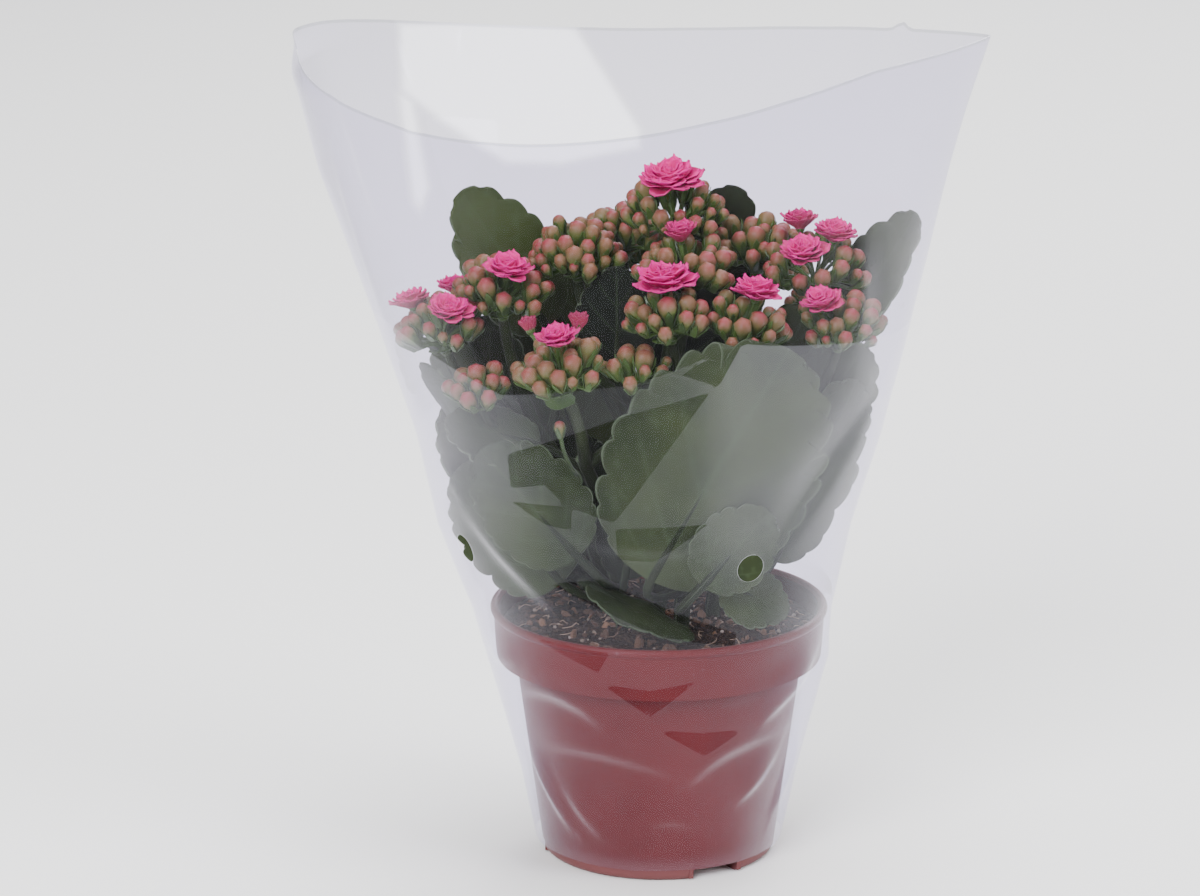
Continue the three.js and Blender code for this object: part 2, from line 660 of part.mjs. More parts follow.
function bloomAxis(bloom) {
  const head = HEADS.find((head) => head.name === bloom.head);
  const outward = vector(bloom.at).sub(vector(head.hub)).normalize();
  return outward.lerp(new THREE.Vector3(0, 0, 1), BLOOM_UPRIGHT).normalize();
}

function bloomFoot(bloom) {
  return vector(bloom.at).addScaledVector(bloomAxis(bloom), (BLOOM_FOOT * bloom.size) / 2);
}

// Every bud's place: a spiral over the head's dome, kept where nothing else is in the way
function settleBuds() {
  const taken = LEAVES.flatMap(leafBeads);
  const bloomBeads = BLOOMS.map((bloom) => ({
    at: vector(bloom.at),
    radius: BLOOM_BEAD * bloom.size,
    head: bloom.head,
  }));
  for (const bloom of BLOOMS) {
    const head = HEADS.find((head) => head.name === bloom.head);
    for (const bead of beadChain(vector(head.hub), bloomFoot(bloom), PEDICEL_RADIUS, 0)) {
      bloomBeads.push({ ...bead, head: bloom.head });
    }
  }
  for (const head of HEADS) {
    const curve = stalkCurve(head);
    for (let i = STALK_BEADS_FROM; i <= STALK_BEADS; i++) {
      taken.push({ at: curve.getPoint(i / STALK_BEADS), radius: STALK_RADIUS, head: head.name });
    }
    taken.push({ at: vector(head.hub), radius: HUB_BEAD * head.reach, head: head.name });
  }
  const buds = [];
  HEADS.forEach((head, order) => {
    const draw = drawsFrom(BUD_SEED[0] + BUD_SEED[1] * order);
    const hub = vector(head.hub);
    const turn = new THREE.Quaternion().setFromUnitVectors(new THREE.Vector3(0, 0, 1), headLook(head));
    const start = 2 * Math.PI * draw();
    for (let i = 0; i < head.buds; i++) {
      const polar = radians(HEAD_SPREAD) * Math.sqrt((i + BUD_START) / head.buds);
      const around = start + i * GOLDEN_ANGLE;
      const radius = BUD_RADIUS * THREE.MathUtils.lerp(...BUD_RADIUS_RANGE, draw());
      const reach = head.reach * THREE.MathUtils.lerp(...BUD_REACH_RANGE, draw());
      const direction = new THREE.Vector3(
        Math.sin(polar) * Math.cos(around),
        Math.sin(polar) * Math.sin(around),
        Math.cos(polar),
      ).applyQuaternion(turn);
      const at = hub.clone().addScaledVector(direction, reach);
      const chain = beadChain(hub, at, 0, radius);
      const tip = chain.at(-1);
      const isOwn = (bead) => bead.head === head.name;
      const isOther = (bead) => bead.head !== head.name;
      const isOwnTip = (bead) => isOwn(bead) && bead.tip;
      const clear =
        clearOf(chain, taken.filter(isOther), BUD_GAP) &&
        clearOf(chain, bloomBeads.filter(isOther), BUD_GAP) &&
        clearOf([tip], taken.filter(isOwnTip), -BUD_GAP) &&
        clearOf([tip], bloomBeads.filter(isOwn), BUD_GAP);
      if (!clear) continue;
      tip.tip = true;
      taken.push(...chain.map((bead) => ({ ...bead, head: head.name })));
      buds.push({ head: head.name, hub, direction, reach, radius });
    }
  });
  return buds;
}

function makeBud(bud) {
  const profile = BUD_PROFILE.map(([radius, reach, extra]) => [
    radius * bud.radius,
    reach * bud.reach + extra * bud.radius,
  ]);
  return solidFrom(turnedAlong(profile, BUD_SIDES, bud.hub, bud.direction));
}

// The knob where a head's pedicels part, with a flat foot over the end of the stalk
function makeHub(head) {
  const profile = [
    [0, -HUB_DEPTH],
    [HUB_FOOT_RADIUS, -HUB_DEPTH],
    ...HUB_PROFILE.map(([radius, height]) => [radius * head.reach, height * head.reach]),
  ];
  return solidFrom(turnedAlong(profile, HUB_SIDES, vector(head.hub), headLook(head)));
}

function makeBloomPedicel(head, bloom) {
  const start = vector(head.hub);
  const direction = bloomFoot(bloom).sub(start);
  const length = direction.length() - GAP;
  const profile = [
    [0, 0],
    [PEDICEL_RADIUS, 0],
    [PEDICEL_RADIUS, length],
    [0, length],
  ];
  return solidFrom(turnedAlong(profile, STALK_SIDES, start, direction.normalize()));
}

function makeHead(head, buds) {
  const blooms = BLOOMS.filter((bloom) => bloom.head === head.name);
  const pedicels = blooms.map((bloom) => makeBloomPedicel(head, bloom));
  return fuse([makeHub(head), ...buds.map(makeBud), ...pedicels]);
}

// A ring of points round a bloom's axis: petal tips reach out to the radius and the notches between
// them stay further in, or all lie on one circle in the throat between two layers of petals
function bloomRing(radius, height, turn, notch = 1) {
  const ring = [];
  for (let i = 0; i < 2 * PETALS; i++) {
    const angle = turn + (Math.PI * i) / PETALS;
    const reach = radius * (i % 2 === 0 ? 1 : notch);
    ring.push(new THREE.Vector3(reach * Math.cos(angle), reach * Math.sin(angle), height));
  }
  return ring;
}

// A closed body from rings of points, from its lowest point to its highest
function ringedBody(bottom, rings, top) {
  const points = [bottom, ...rings.flat(), top];
  const count = rings[0].length;
  const last = points.length - 1;
  const faces = [];
  for (let i = 0; i < count; i++) {
    const j = (i + 1) % count;
    faces.push(0, 1 + j, 1 + i);
    for (let row = 0; row < rings.length - 1; row++) {
      const low = 1 + row * count;
      const high = low + count;
      faces.push(low + i, low + j, high + j, low + i, high + j, high + i);
    }
    faces.push(last - count + i, last - count + j, last);
  }
  return solidOf(points.flatMap((point) => point.toArray()), faces);
}

// A double bloom: layers of pointed petals one above the other, each a closed star round the axis
function makeBloom(bloom, order) {
  const turn = 2 * Math.PI * drawsFrom(BLOOM_SEED[0] + BLOOM_SEED[1] * order)();
  const radius = bloom.size / 2;
  const rings = [];
  BLOOM_LAYERS.forEach((layer, i) => {
    const twist = turn + (layer.turn * Math.PI) / PETALS;
    const rim = [layer.reach * radius, layer.height * radius];
    rings.push(bloomRing(rim[0], rim[1] - PETAL_THICKNESS, twist, PETAL_NOTCH));
    rings.push(bloomRing(rim[0], rim[1], twist, PETAL_NOTCH));
    if (i === BLOOM_LAYERS.length - 1) return;
    rings.push(bloomRing(layer.throat * radius, layer.floor * radius, twist));
  });
  const foot = new THREE.Vector3(0, 0, BLOOM_FOOT * radius);
  const heart = new THREE.Vector3(0, 0, BLOOM_HEART * radius);
  const geometry = geometryOf(ringedBody(foot, rings, heart));
  const axis = new THREE.Quaternion().setFromUnitVectors(new THREE.Vector3(0, 0, 1), bloomAxis(bloom));
  return geometry.applyQuaternion(axis).translate(...bloom.at);
}

// Sleeve: an oval tube that flares upwards, rounded at the left and pinched to a seam at the right
function sleeveReach(height, key) {
  const last = SLEEVE_SECTIONS.length - 2;
  const found = SLEEVE_SECTIONS.findIndex((section) => section.z > height) - 1;
  const i = found < 0 ? last : found;
  const low = SLEEVE_SECTIONS[i];
  const high = SLEEVE_SECTIONS[i + 1];
  return THREE.MathUtils.mapLinear(height, low.z, high.z, low[key], high[key]);
}

function sleevePoint(around, height) {
  const left = sleeveReach(height, "left");
  const right = sleeveReach(height, "right");
  const middle = (right - left) / 2;
  const half = (right + left) / 2;
  const pinch = SLEEVE_PINCH * THREE.MathUtils.smoothstep(height, SLEEVE_PINCH_FROM, SLEEVE_PINCH_TO);
  const power = 1 + pinch * THREE.MathUtils.smoothstep(Math.cos(around), 0, 1);
  const side = Math.sin(around);
  const depth = sleeveReach(height, "depth") * Math.sign(side) * Math.abs(side) ** power;
  return new THREE.Vector2(middle + half * Math.cos(around), depth);
}

// The mouth rises to both ends of the oval, and its front edge tilts up towards the seam
function mouthHeight(around) {
  const rise = (SLEEVE_SEAM_HEIGHT - SLEEVE_MID_HEIGHT) * Math.cos(around) ** 2;
  const tilt = SLEEVE_FRONT_TILT * Math.cos(around) * Math.max(0, -Math.sin(around));
  return Math.min(SLEEVE_SEAM_HEIGHT, SLEEVE_MID_HEIGHT + rise + tilt);
}

// One ring of the sleeve, as points of its outer and inner face
function sleeveRing(row) {
  const bottom = SLEEVE_SECTIONS[0].z;
  const places = [];
  for (let i = 0; i < SLEEVE_SIDES; i++) {
    const around = (2 * Math.PI * i) / SLEEVE_SIDES;
    const height = bottom + (mouthHeight(around) - bottom) * row;
    places.push({ height, at: sleevePoint(around, height) });
  }
  return places.map(({ height, at }, i) => {
    const before = places[(i + SLEEVE_SIDES - 1) % SLEEVE_SIDES].at;
    const after = places[(i + 1) % SLEEVE_SIDES].at;
    const normals = [at.clone().sub(before), after.clone().sub(at)].map((edge) =>
      new THREE.Vector2(edge.y, -edge.x).normalize(),
    );
    const normal = normals[0].clone().add(normals[1]).normalize();
    const mitre = Math.max(SLEEVE_MITRE_LIMIT, normal.dot(normals[0]));
    const inner = at.clone().addScaledVector(normal, -SLEEVE_WALL / mitre);
    return {
      outer: new THREE.Vector3(at.x, at.y, height),
      inner: new THREE.Vector3(inner.x, inner.y, height),
    };
  });
}

function makeSleeve() {
  const rings = SLEEVE_ROWS.map(sleeveRing);
  const outside = rings.map((ring) => ring.map((point) => point.outer));
  const inside = rings.map((ring) => ring.map((point) => point.inner));
  const loop = [...outside, ...inside.reverse()];
  const positions = loop.flat().flatMap((point) => point.toArray());
  const faces = [];
  loop.forEach((ring, row) => {
    const next = (row + 1) % loop.length;
    for (let i = 0; i < SLEEVE_SIDES; i++) {
      const j = (i + 1) % SLEEVE_SIDES;
      const low = row * SLEEVE_SIDES;
      const high = next * SLEEVE_SIDES;
      faces.push(low + i, low + j, high + j, low + i, high + j, high + i);
    }
  });
  let sleeve = solidOf(positions, faces);
  for (const angle of VENT_ANGLES) {
    const punch = new THREE.CylinderGeometry(VENT_RADIUS, VENT_RADIUS, VENT_PUNCH, VENT_SIDES);
    punch.translate(0, -VENT_REACH, 0).rotateZ(radians(angle)).translate(0, 0, VENT_HEIGHT);
    sleeve = sleeve.subtract(solidFrom(punch));
  }
  return sleeve;
}

// Materials
const paint = (color, roughness, metalness = 0, extra = {}) =>
  new THREE.MeshStandardMaterial({ color, roughness, metalness, ...extra });

const part = new THREE.Group();

function addMesh(name, geometry, material) {
  const mesh = new THREE.Mesh(geometry, material);
  mesh.name = name;
  part.add(mesh);
}

addMesh("pot", geometryOf(makePot()), paint(0x8c3a30, 0.42));
addMesh("soil", geometryOf(makeSoil()), paint(0x33261f, 0.95));
addMesh("sleeve", geometryOf(makeSleeve()), paint(0xeceef4, 0.08, 0, { transparent: true, opacity: 0.15 }));
for (const stem of STEMS) addMesh(stem.name, geometryOf(makeStem(stem)), paint(0x3f5a36, 0.6));
const buds = settleBuds();
for (const head of HEADS) {
  const own = buds.filter((bud) => bud.head === head.name);
  addMesh(`head_${head.name}`, geometryOf(makeHead(head, own)), paint(0xb98a6a, 0.55));
}
BLOOMS.forEach((bloom, order) => {
  const name = `bloom_${String(order + 1).padStart(2, "0")}`;
  addMesh(name, makeBloom(bloom, order), paint(0xe0408f, 0.55));
});

export default part;
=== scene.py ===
"""A potted kalanchoe in a clear flared sleeve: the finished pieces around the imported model."""

import math
from collections import namedtuple

import bpy
from mathutils import Matrix, Quaternion, Vector, noise


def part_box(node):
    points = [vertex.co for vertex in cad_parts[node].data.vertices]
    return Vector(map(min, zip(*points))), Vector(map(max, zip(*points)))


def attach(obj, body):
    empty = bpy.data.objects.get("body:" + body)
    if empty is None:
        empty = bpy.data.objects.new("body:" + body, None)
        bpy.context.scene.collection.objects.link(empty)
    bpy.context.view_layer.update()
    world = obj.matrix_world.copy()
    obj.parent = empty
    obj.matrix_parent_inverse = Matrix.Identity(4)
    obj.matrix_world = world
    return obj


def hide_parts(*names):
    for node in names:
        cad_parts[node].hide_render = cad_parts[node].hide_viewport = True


bl_info = {
    "name": "Potted Kalanchoe",
    "version": (1, 0, 0),
    "blender": (4, 5, 0),
    "location": "3D View > Sidebar > Kalanchoe",
    "description": "Models a flowering kalanchoe in its nursery pot and clear sleeve",
    "category": "Add Mesh",
}

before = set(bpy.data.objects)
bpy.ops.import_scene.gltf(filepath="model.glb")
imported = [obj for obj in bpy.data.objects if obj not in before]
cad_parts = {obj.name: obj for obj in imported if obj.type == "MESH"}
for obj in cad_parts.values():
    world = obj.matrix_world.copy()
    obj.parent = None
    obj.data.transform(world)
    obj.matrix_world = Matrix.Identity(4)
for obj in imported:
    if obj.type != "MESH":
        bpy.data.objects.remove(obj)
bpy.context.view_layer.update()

# Lengths below are in millimetres unless a name or a property says otherwise
MM = 0.001
BODY = "root"
UP = Vector((0, 0, 1))
GOLDEN_ANGLE = math.pi * (3 - math.sqrt(5))

# Pot, from its node's box
POT_LOW, POT_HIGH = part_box("pot")
RIM_RADIUS = (POT_HIGH.x - POT_LOW.x) / 2 / MM
POT_HEIGHT = POT_HIGH.z / MM
LIP_HEIGHT = 3
COLLAR_HEIGHT = 19
COLLAR_FOOT = POT_HEIGHT - COLLAR_HEIGHT
COLLAR_TOP_RADIUS = RIM_RADIUS - 1
COLLAR_FOOT_RADIUS = RIM_RADIUS - 2.2
LIP_ROUND = 1.5
NECK_RADIUS = 51
BASE_RADIUS = 41.5
FOOT_ROUND = 2.6
POT_WALL = 1.1
CHANNEL_ANGLES = (-150, -30, 90)
CHANNEL_START = 15
CHANNEL_HEIGHT = 4
CHANNEL_WIDTH = 18
CHANNEL_WALL = 1.5
POT_SIDES = 160

# Soil: its level, how far its middle stands higher, its lumps, and its gap to the pot
SOIL_LEVEL = 84
SOIL_DOME = 2.6
SOIL_LUMP = 1.3
SOIL_LUMP_LENGTH = 7
SOIL_GAP = 0.6
SOIL_RADIUS = COLLAR_FOOT_RADIUS - POT_WALL - SOIL_GAP
SOIL_SIDES = 110
SOIL_RINGS = 34

# Stems, stalks, petioles and pedicels
STEM_DEPTH = 12
STEM_RADIUS = 2.8
STALK_RADIUS = 2
PETIOLE_RADIUS = 1.7
PEDICEL_RADIUS = 0.75

# Stems: foot in the soil and top
Stem = namedtuple("Stem", "foot top")
STEMS = {
    "stem_front_left": Stem((-13, -13), (-27, -29, 152)),
    "stem_front_right": Stem((8, -16), (12, -26, 154)),
    "stem_left": Stem((-18, 5), (-45, 4, 156)),
    "stem_right": Stem((19, 1), (40, 2, 156)),
    "stem_middle": Stem((0, 3), (0, 6, 166)),
    "stem_back": Stem((1, 21), (0, 34, 152)),
}

# Leaves: the stem, where the blade starts and ends, which way its face looks, its width, the lobes along
# each side, how far its edges and its tip bend back, and the height at which its petiole leaves the stem
Leaf = namedtuple("Leaf", "stem base tip face width lobes cup curl start")
LEAVES = [
    Leaf("stem_front_right", (-3, -47, 113), (44, -58, 198), (0.1, -1, 0.1), 75, 6, 11, 1, 100),
    Leaf("stem_front_left", (-28, -46, 121), (-62, -38, 157), (-0.4, -0.85, 0.4), 39, 5, 4, 1, 101),
    Leaf("stem_front_left", (-42, -29, 156), (-74, -27, 166), (-0.1, -0.5, 0.85), 28, 4, 2, 2, 144),
    Leaf("stem_left", (-61, 1, 139), (-83, -3, 179), (-0.85, -0.4, 0.2), 37, 5, 4, 0, 118),
    Leaf("stem_front_left", (-34, -30, 107), (-70, -17, 145), (-0.6, -0.65, 0.35), 47, 5, 4, 0, 98),
    Leaf("stem_left", (-40, 20, 186), (-69, 20, 236), (0.3, -0.8, 0.5), 38, 4, -3, 2, 148),
    Leaf("stem_middle", (-15, -3, 176), (-15, -6, 214), (0.1, -0.95, 0.3), 30, 4, 2, 2, 152),
    Leaf("stem_middle", (14, 31, 192), (27, 29, 235), (0, -0.9, 0.4), 30, 4, 2, 2, 158),
    Leaf("stem_right", (62, 14, 184), (90, 6, 231), (-0.6, -0.65, 0.5), 30, 4, -3, 0, 146),
    Leaf("stem_right", (45, -10, 151), (72, -10, 187), (0.2, -0.9, 0.35), 34, 4, 3, 1, 128),
    Leaf("stem_right", (40, -24, 113), (69, -14, 176), (0.6, -0.75, 0.15), 42, 5, 4, 0, 100),
    Leaf("stem_front_right", (15, -54, 113), (38, -52, 139), (0.3, -0.9, 0.3), 29, 4, 2, 1, 94),
    Leaf("stem_right", (22, -38, 109), (45, -41, 100), (0.25, -0.7, 0.65), 24, 4, 1, 1, 94),
    Leaf("stem_front_left", (-25, -36, 108), (12, -45, 91), (0.1, -0.25, 1), 18, 4, 2, 0, 92),
    Leaf("stem_right", (37, -2, 164), (52, -3, 200), (0.3, -0.85, 0.4), 32, 4, 2, 1, 140),
    Leaf("stem_middle", (8, 17, 168), (9, 20, 213), (0, -0.95, 0.3), 42, 4, 3, 1, 146),
    Leaf("stem_front_left", (-12, -28, 108), (-6, -34, 150), (0, -1, 0.1), 26, 4, 2, 0, 96),
    Leaf("stem_back", (-22, 43, 112), (-46, 54, 182), (-0.35, 0.9, 0.15), 60, 5, 7, 0, 98),
    Leaf("stem_back", (20, 44, 112), (42, 53, 178), (0.4, 0.85, 0.15), 58, 5, 7, 0, 104),
    Leaf("stem_back", (-1, 53, 108), (-2, 64, 156), (0, 0.95, 0.2), 42, 5, 5, 0, 92),
    Leaf("stem_left", (-52, 20, 108), (-76, 20, 158), (-0.8, 0.55, 0.2), 40, 5, 4, 0, 96),
    Leaf("stem_right", (48, 20, 110), (67, 19, 160), (0.8, 0.5, 0.2), 40, 5, 4, 0, 94),
    Leaf("stem_left", (-54, 26, 156), (-76, 36, 186), (-0.4, 0.8, 0.5), 34, 4, 3, 0, 134),
    Leaf("stem_right", (46, 28, 146), (60, 34, 177), (0.4, 0.8, 0.5), 32, 4, 3, 0, 128),
    Leaf("stem_back", (14, 54, 160), (18, 64, 200), (0.1, 0.9, 0.4), 38, 4, 3, 0, 138),
    Leaf("stem_back", (-22, 52, 164), (-26, 63, 202), (-0.1, 0.9, 0.4), 36, 4, 3, 0, 132),
    Leaf("stem_left", (-26, 14, 93), (-30, 20, 148), (0, -1, 0.15), 34, 2, 2, 0, 90),
    Leaf("stem_right", (26, 14, 93), (32, 20, 150), (0, -1, 0.15), 34, 2, 2, 0, 90),
]

# Flower heads: the stem, the hub where the pedicels part, the way the head looks, how far the buds stand
# from the hub, and how many places for buds there are
Head = namedtuple("Head", "stem hub look reach buds")
HEADS = {
    "crown": Head("stem_middle", (6, 8, 222), (0, -0.1, 1), 20, 24),
    "upper_front": Head("stem_middle", (9, -13, 208), (0, -0.4, 1), 19, 22),
    "front_a": Head("stem_front_right", (4, -33, 196), (-0.2, -0.3, 1), 17, 17),
    "front_b": Head("stem_front_right", (28, -33, 193), (0.3, -0.3, 1), 17, 18),
    "low_front_left": Head("stem_front_left", (-32, -45, 180), (-0.35, -0.3, 1), 18, 26),
    "low_front": Head("stem_front_left", (-8, -37, 179), (0.05, -0.35, 1), 14, 9),
    "left_outer": Head("stem_left", (-75, -9, 186), (-0.3, -0.3, 1), 18, 22),
    "left_upper": Head("stem_left", (-55, -4, 197), (-0.1, -0.3, 1), 19, 26),
    "left_low": Head("stem_front_left", (-62, -28, 171), (-0.3, -0.4, 1), 12, 12),
    "top_left": Head("stem_middle", (-29, 9, 208), (-0.1, -0.2, 1), 19, 30),
    "top_middle": Head("stem_middle", (-13, 29, 210), (-0.1, 0.1, 1), 17, 25),
    "top_right": Head("stem_right", (34, 20, 207), (0.1, 0, 1), 18, 26),
    "right_upper": Head("stem_right", (54, 0, 205), (0.1, -0.3, 1), 20, 22),
    "right_low": Head("stem_right", (62, -20, 190), (0.2, -0.3, 1), 17, 20),
    "back_left": Head("stem_back", (-40, 41, 195), (-0.3, 0.3, 1), 17, 18),
    "back_middle": Head("stem_back", (-3, 52, 196), (0, 0.4, 1), 17, 18),
    "back_right": Head("stem_back", (36, 48, 193), (0.3, 0.4, 1), 17, 18),
    "far_left": Head("stem_left", (-68, 22, 184), (-0.4, 0.2, 1), 16, 14),
    "far_right": Head("stem_right", (57, 26, 185), (0.2, 0.3, 1), 15, 14),
}

# A bud that hangs alone under its head: where its pedicel leaves the stalk, its middle, radius and shade
LoneBud = namedtuple("LoneBud", "start at radius shade")
LONE_BUDS = {
    "low_front_left": [LoneBud((-28.5, -41, 149), (-34.4, -45, 167.2), 1.9, 0.2)],
}
# A round bract under a head: its middle, its length and the way its face looks
ROUND_BRACTS = {"low_front_left": ((-34.5, -47, 178), 11, (-0.1, -1, 0.35))}

# Blooms: the head that carries it, its middle, its width across, and how far it has opened
Bloom = namedtuple("Bloom", "head at size open")
BLOOMS = [
    Bloom("crown", (3, -1, 245), 21, 1),
    Bloom("upper_front", (7, -15, 229), 16, 0.55),
    Bloom("front_a", (2, -35, 217), 21, 1),
    Bloom("front_b", (33, -34, 213), 17, 0.9),
    Bloom("low_front_left", (-35, -54, 201), 16, 0.75),
    Bloom("low_front_left", (-45, -39, 202), 13, 0.15),
    Bloom("low_front_left", (-28, -38, 203), 14, 0.2),
    Bloom("left_outer", (-87, -5, 202), 15, 0.8),
    Bloom("left_outer", (-73, -22, 203), 16, 0.85),
    Bloom("left_upper", (-53, -15, 216), 17, 0.9),
    Bloom("right_upper", (49, 8, 228), 16, 0.6),
    Bloom("right_upper", (61, -2, 226), 17, 0.8),
    Bloom("right_upper", (50, -13, 222), 17, 0.8),
    Bloom("right_low", (56, -29, 208), 16, 0.8),
    Bloom("back_left", (-46, 48, 212), 16, 0.9),
    Bloom("back_middle", (-3, 60, 213), 17, 1),
    Bloom("back_right", (42, 56, 209), 16, 0.8),
    Bloom("back_right", (30, 44, 211), 15, 0.6),
    Bloom("far_left", (-72, 28, 199), 15, 0.8),
    Bloom("far_right", (64, 30, 199), 15, 0.8),
]

# Sleeve sections: height, reach to the left, to the right, and to front and back
SLEEVE_SECTIONS = [
    (5, 44.2, 44.2, 44.2), (30, 49.5, 49.5, 49.5), (71, 61, 60.2, 60.2), (91, 66.5, 61.4, 63.5),
    (122, 79, 68.5, 69), (155, 86, 78.5, 76), (195, 99, 88, 84), (250, 119, 101, 90), (297, 132, 114, 94),
]
SLEEVE_MID_HEIGHT = 280
SLEEVE_SEAM_HEIGHT = 296
SLEEVE_FRONT_TILT = 18
SLEEVE_PINCH = 0.7
SLEEVE_PINCH_FROM = 175
SLEEVE_PINCH_TO = 272
# The left end of the mouth rolls in
SLEEVE_ROLL = 4.5
SLEEVE_ROLL_FROM = 281
# The torn peak of the mouth: its height, and its place and width as parts of the half round
MOUTH_PEAK = 2.4
MOUTH_PEAK_AT = 0.215
MOUTH_PEAK_WIDTH = 0.008
# Soft ripples all over the film
RIPPLE = 0.5
RIPPLE_LENGTH = 21
FILM_GAP = 0.7
VENT_RADIUS = 5
VENT_HEIGHT = 121
VENT_ANGLES = (-62, 208, 152, 28)
PUNCH_LENGTH = 40
PUNCH_REACH = 75
FILM_COLUMNS = 300
FILM_ROWS = 150


# Small tools
def place(values):
    """A point or direction in metres from millimetres."""
    return Vector(values) * MM


def smooth_step(value, low, high):
    part = min(1, max(0, (value - low) / (high - low)))
    return part * part * (3 - 2 * part)


# Seed of the draws of each kind of piece: the first piece's, and the step to the next piece's
SEEDS = {"leaf": (300, 17), "bloom": (900, 29), "buds": (4100, 53), "head": (7000, 41), "soil": (2024, 0)}
DRAW_FACTOR = 16807
DRAW_RANGE = 2 ** 31 - 1


def draws_for(kind, order=0):
    """A repeatable row of draws between 0 and 1 for one piece."""
    first, step = SEEDS[kind]
    state = first + step * order
    while True:
        state = state * DRAW_FACTOR % DRAW_RANGE
        yield state / DRAW_RANGE


def bend(start, knee, end, part):
    """A point on a quadratic curve."""
    return start.lerp(knee, part).lerp(knee.lerp(end, part), part)


def curve(start, knee, end, steps):
    """Points along a quadratic curve."""
    return [bend(start, knee, end, i / steps) for i in range(steps + 1)]


def arc(x, y, radius, start, end, steps):
    """Points along an arc about (x, y), from one angle to another in degrees."""
    angles = [math.radians(start + (end - start) * i / steps) for i in range(steps + 1)]
    return [(x + radius * math.cos(angle), y + radius * math.sin(angle)) for angle in angles]


def turn_to(direction):
    return UP.rotation_difference(direction).to_matrix().to_4x4()


def deselect():
    bpy.ops.object.select_all(action="DESELECT")


def activate(piece):
    deselect()
    piece.select_set(True)
    bpy.context.view_layer.objects.active = piece


def edit_whole(piece, operator, **settings):
    """Runs an edit mode operator on all of a piece."""
    activate(piece)
    bpy.ops.object.mode_set(mode="EDIT")
    bpy.ops.mesh.select_all(action="SELECT")
    operator(**settings)
    bpy.ops.object.mode_set(mode="OBJECT")


def mark(mesh, name, values):
    """Stores a number for each point, which a material can read."""
    layer = mesh.attributes.new(name, "FLOAT", "POINT")
    layer.data.foreach_set("value", values)


def marks(mesh, name):
    values = [0.0] * len(mesh.vertices)
    mesh.attributes[name].data.foreach_get("value", values)
    return values


def apply_modifier(piece, kind, **settings):
    modifier = piece.modifiers.new(kind.title(), kind)
    for key, value in settings.items():
        setattr(modifier, key, value)
    activate(piece)
    bpy.ops.object.modifier_apply(modifier=modifier.name)


def turned(profile, sides):
    """A closed body turned about Z: a disc extruded and resized from each [radius, height] to the next."""
    radius, height = profile[0]
    deselect()
    bpy.ops.mesh.primitive_circle_add(vertices=sides, radius=radius * MM, fill_type="NGON")
    piece = bpy.context.object
    piece.data.transform(Matrix.Translation((0, 0, height * MM)))
    bpy.ops.object.mode_set(mode="EDIT")
    bpy.ops.mesh.select_all(action="SELECT")
    for next_radius, next_height in profile[1:]:
        rise = (next_height - height) * MM
        bpy.ops.mesh.extrude_region_move(TRANSFORM_OT_translate={"value": (0, 0, rise)})
        grow = next_radius / radius
        bpy.ops.transform.resize(value=(grow, grow, 1), center_override=(0, 0, next_height * MM))
        radius, height = next_radius, next_height
    bpy.ops.object.mode_set(mode="OBJECT")
    edit_whole(piece, bpy.ops.mesh.normals_make_consistent, inside=False)
    return piece


def sheet_grid(columns, rows, shape):
    """A grid laid out by shape(a, b), with a from -1 to 1 across and b from 0 to 1 along."""
    deselect()
    bpy.ops.mesh.primitive_grid_add(x_subdivisions=columns, y_subdivisions=rows, size=2)
    piece = bpy.context.object
    across = [vertex.co.x for vertex in piece.data.vertices]
    grow = [(vertex.co.y + 1) / 2 for vertex in piece.data.vertices]
    for vertex, a, b in zip(piece.data.vertices, across, grow):
        vertex.co = shape(a, b)
    mark(piece.data, "across", across)
    mark(piece.data, "grow", grow)
    return piece


def close_points(piece, distance=0.01):
    """Merges points that lie together, as at the ends of a leaf."""
    edit_whole(piece, bpy.ops.mesh.remove_doubles, threshold=distance * MM)


Shape = namedtuple("Shape", "points faces slots across grow")


def as_shape(piece):
    """Takes a modelled object's mesh as the shape for copies, and removes the object."""
    mesh = piece.data
    shape = Shape(
        [vertex.co.copy() for vertex in mesh.vertices],
        [tuple(face.vertices) for face in mesh.polygons],
        [face.material_index for face in mesh.polygons],
        marks(mesh, "across"),
        marks(mesh, "grow"),
    )
    bpy.data.objects.remove(piece)
    return shape


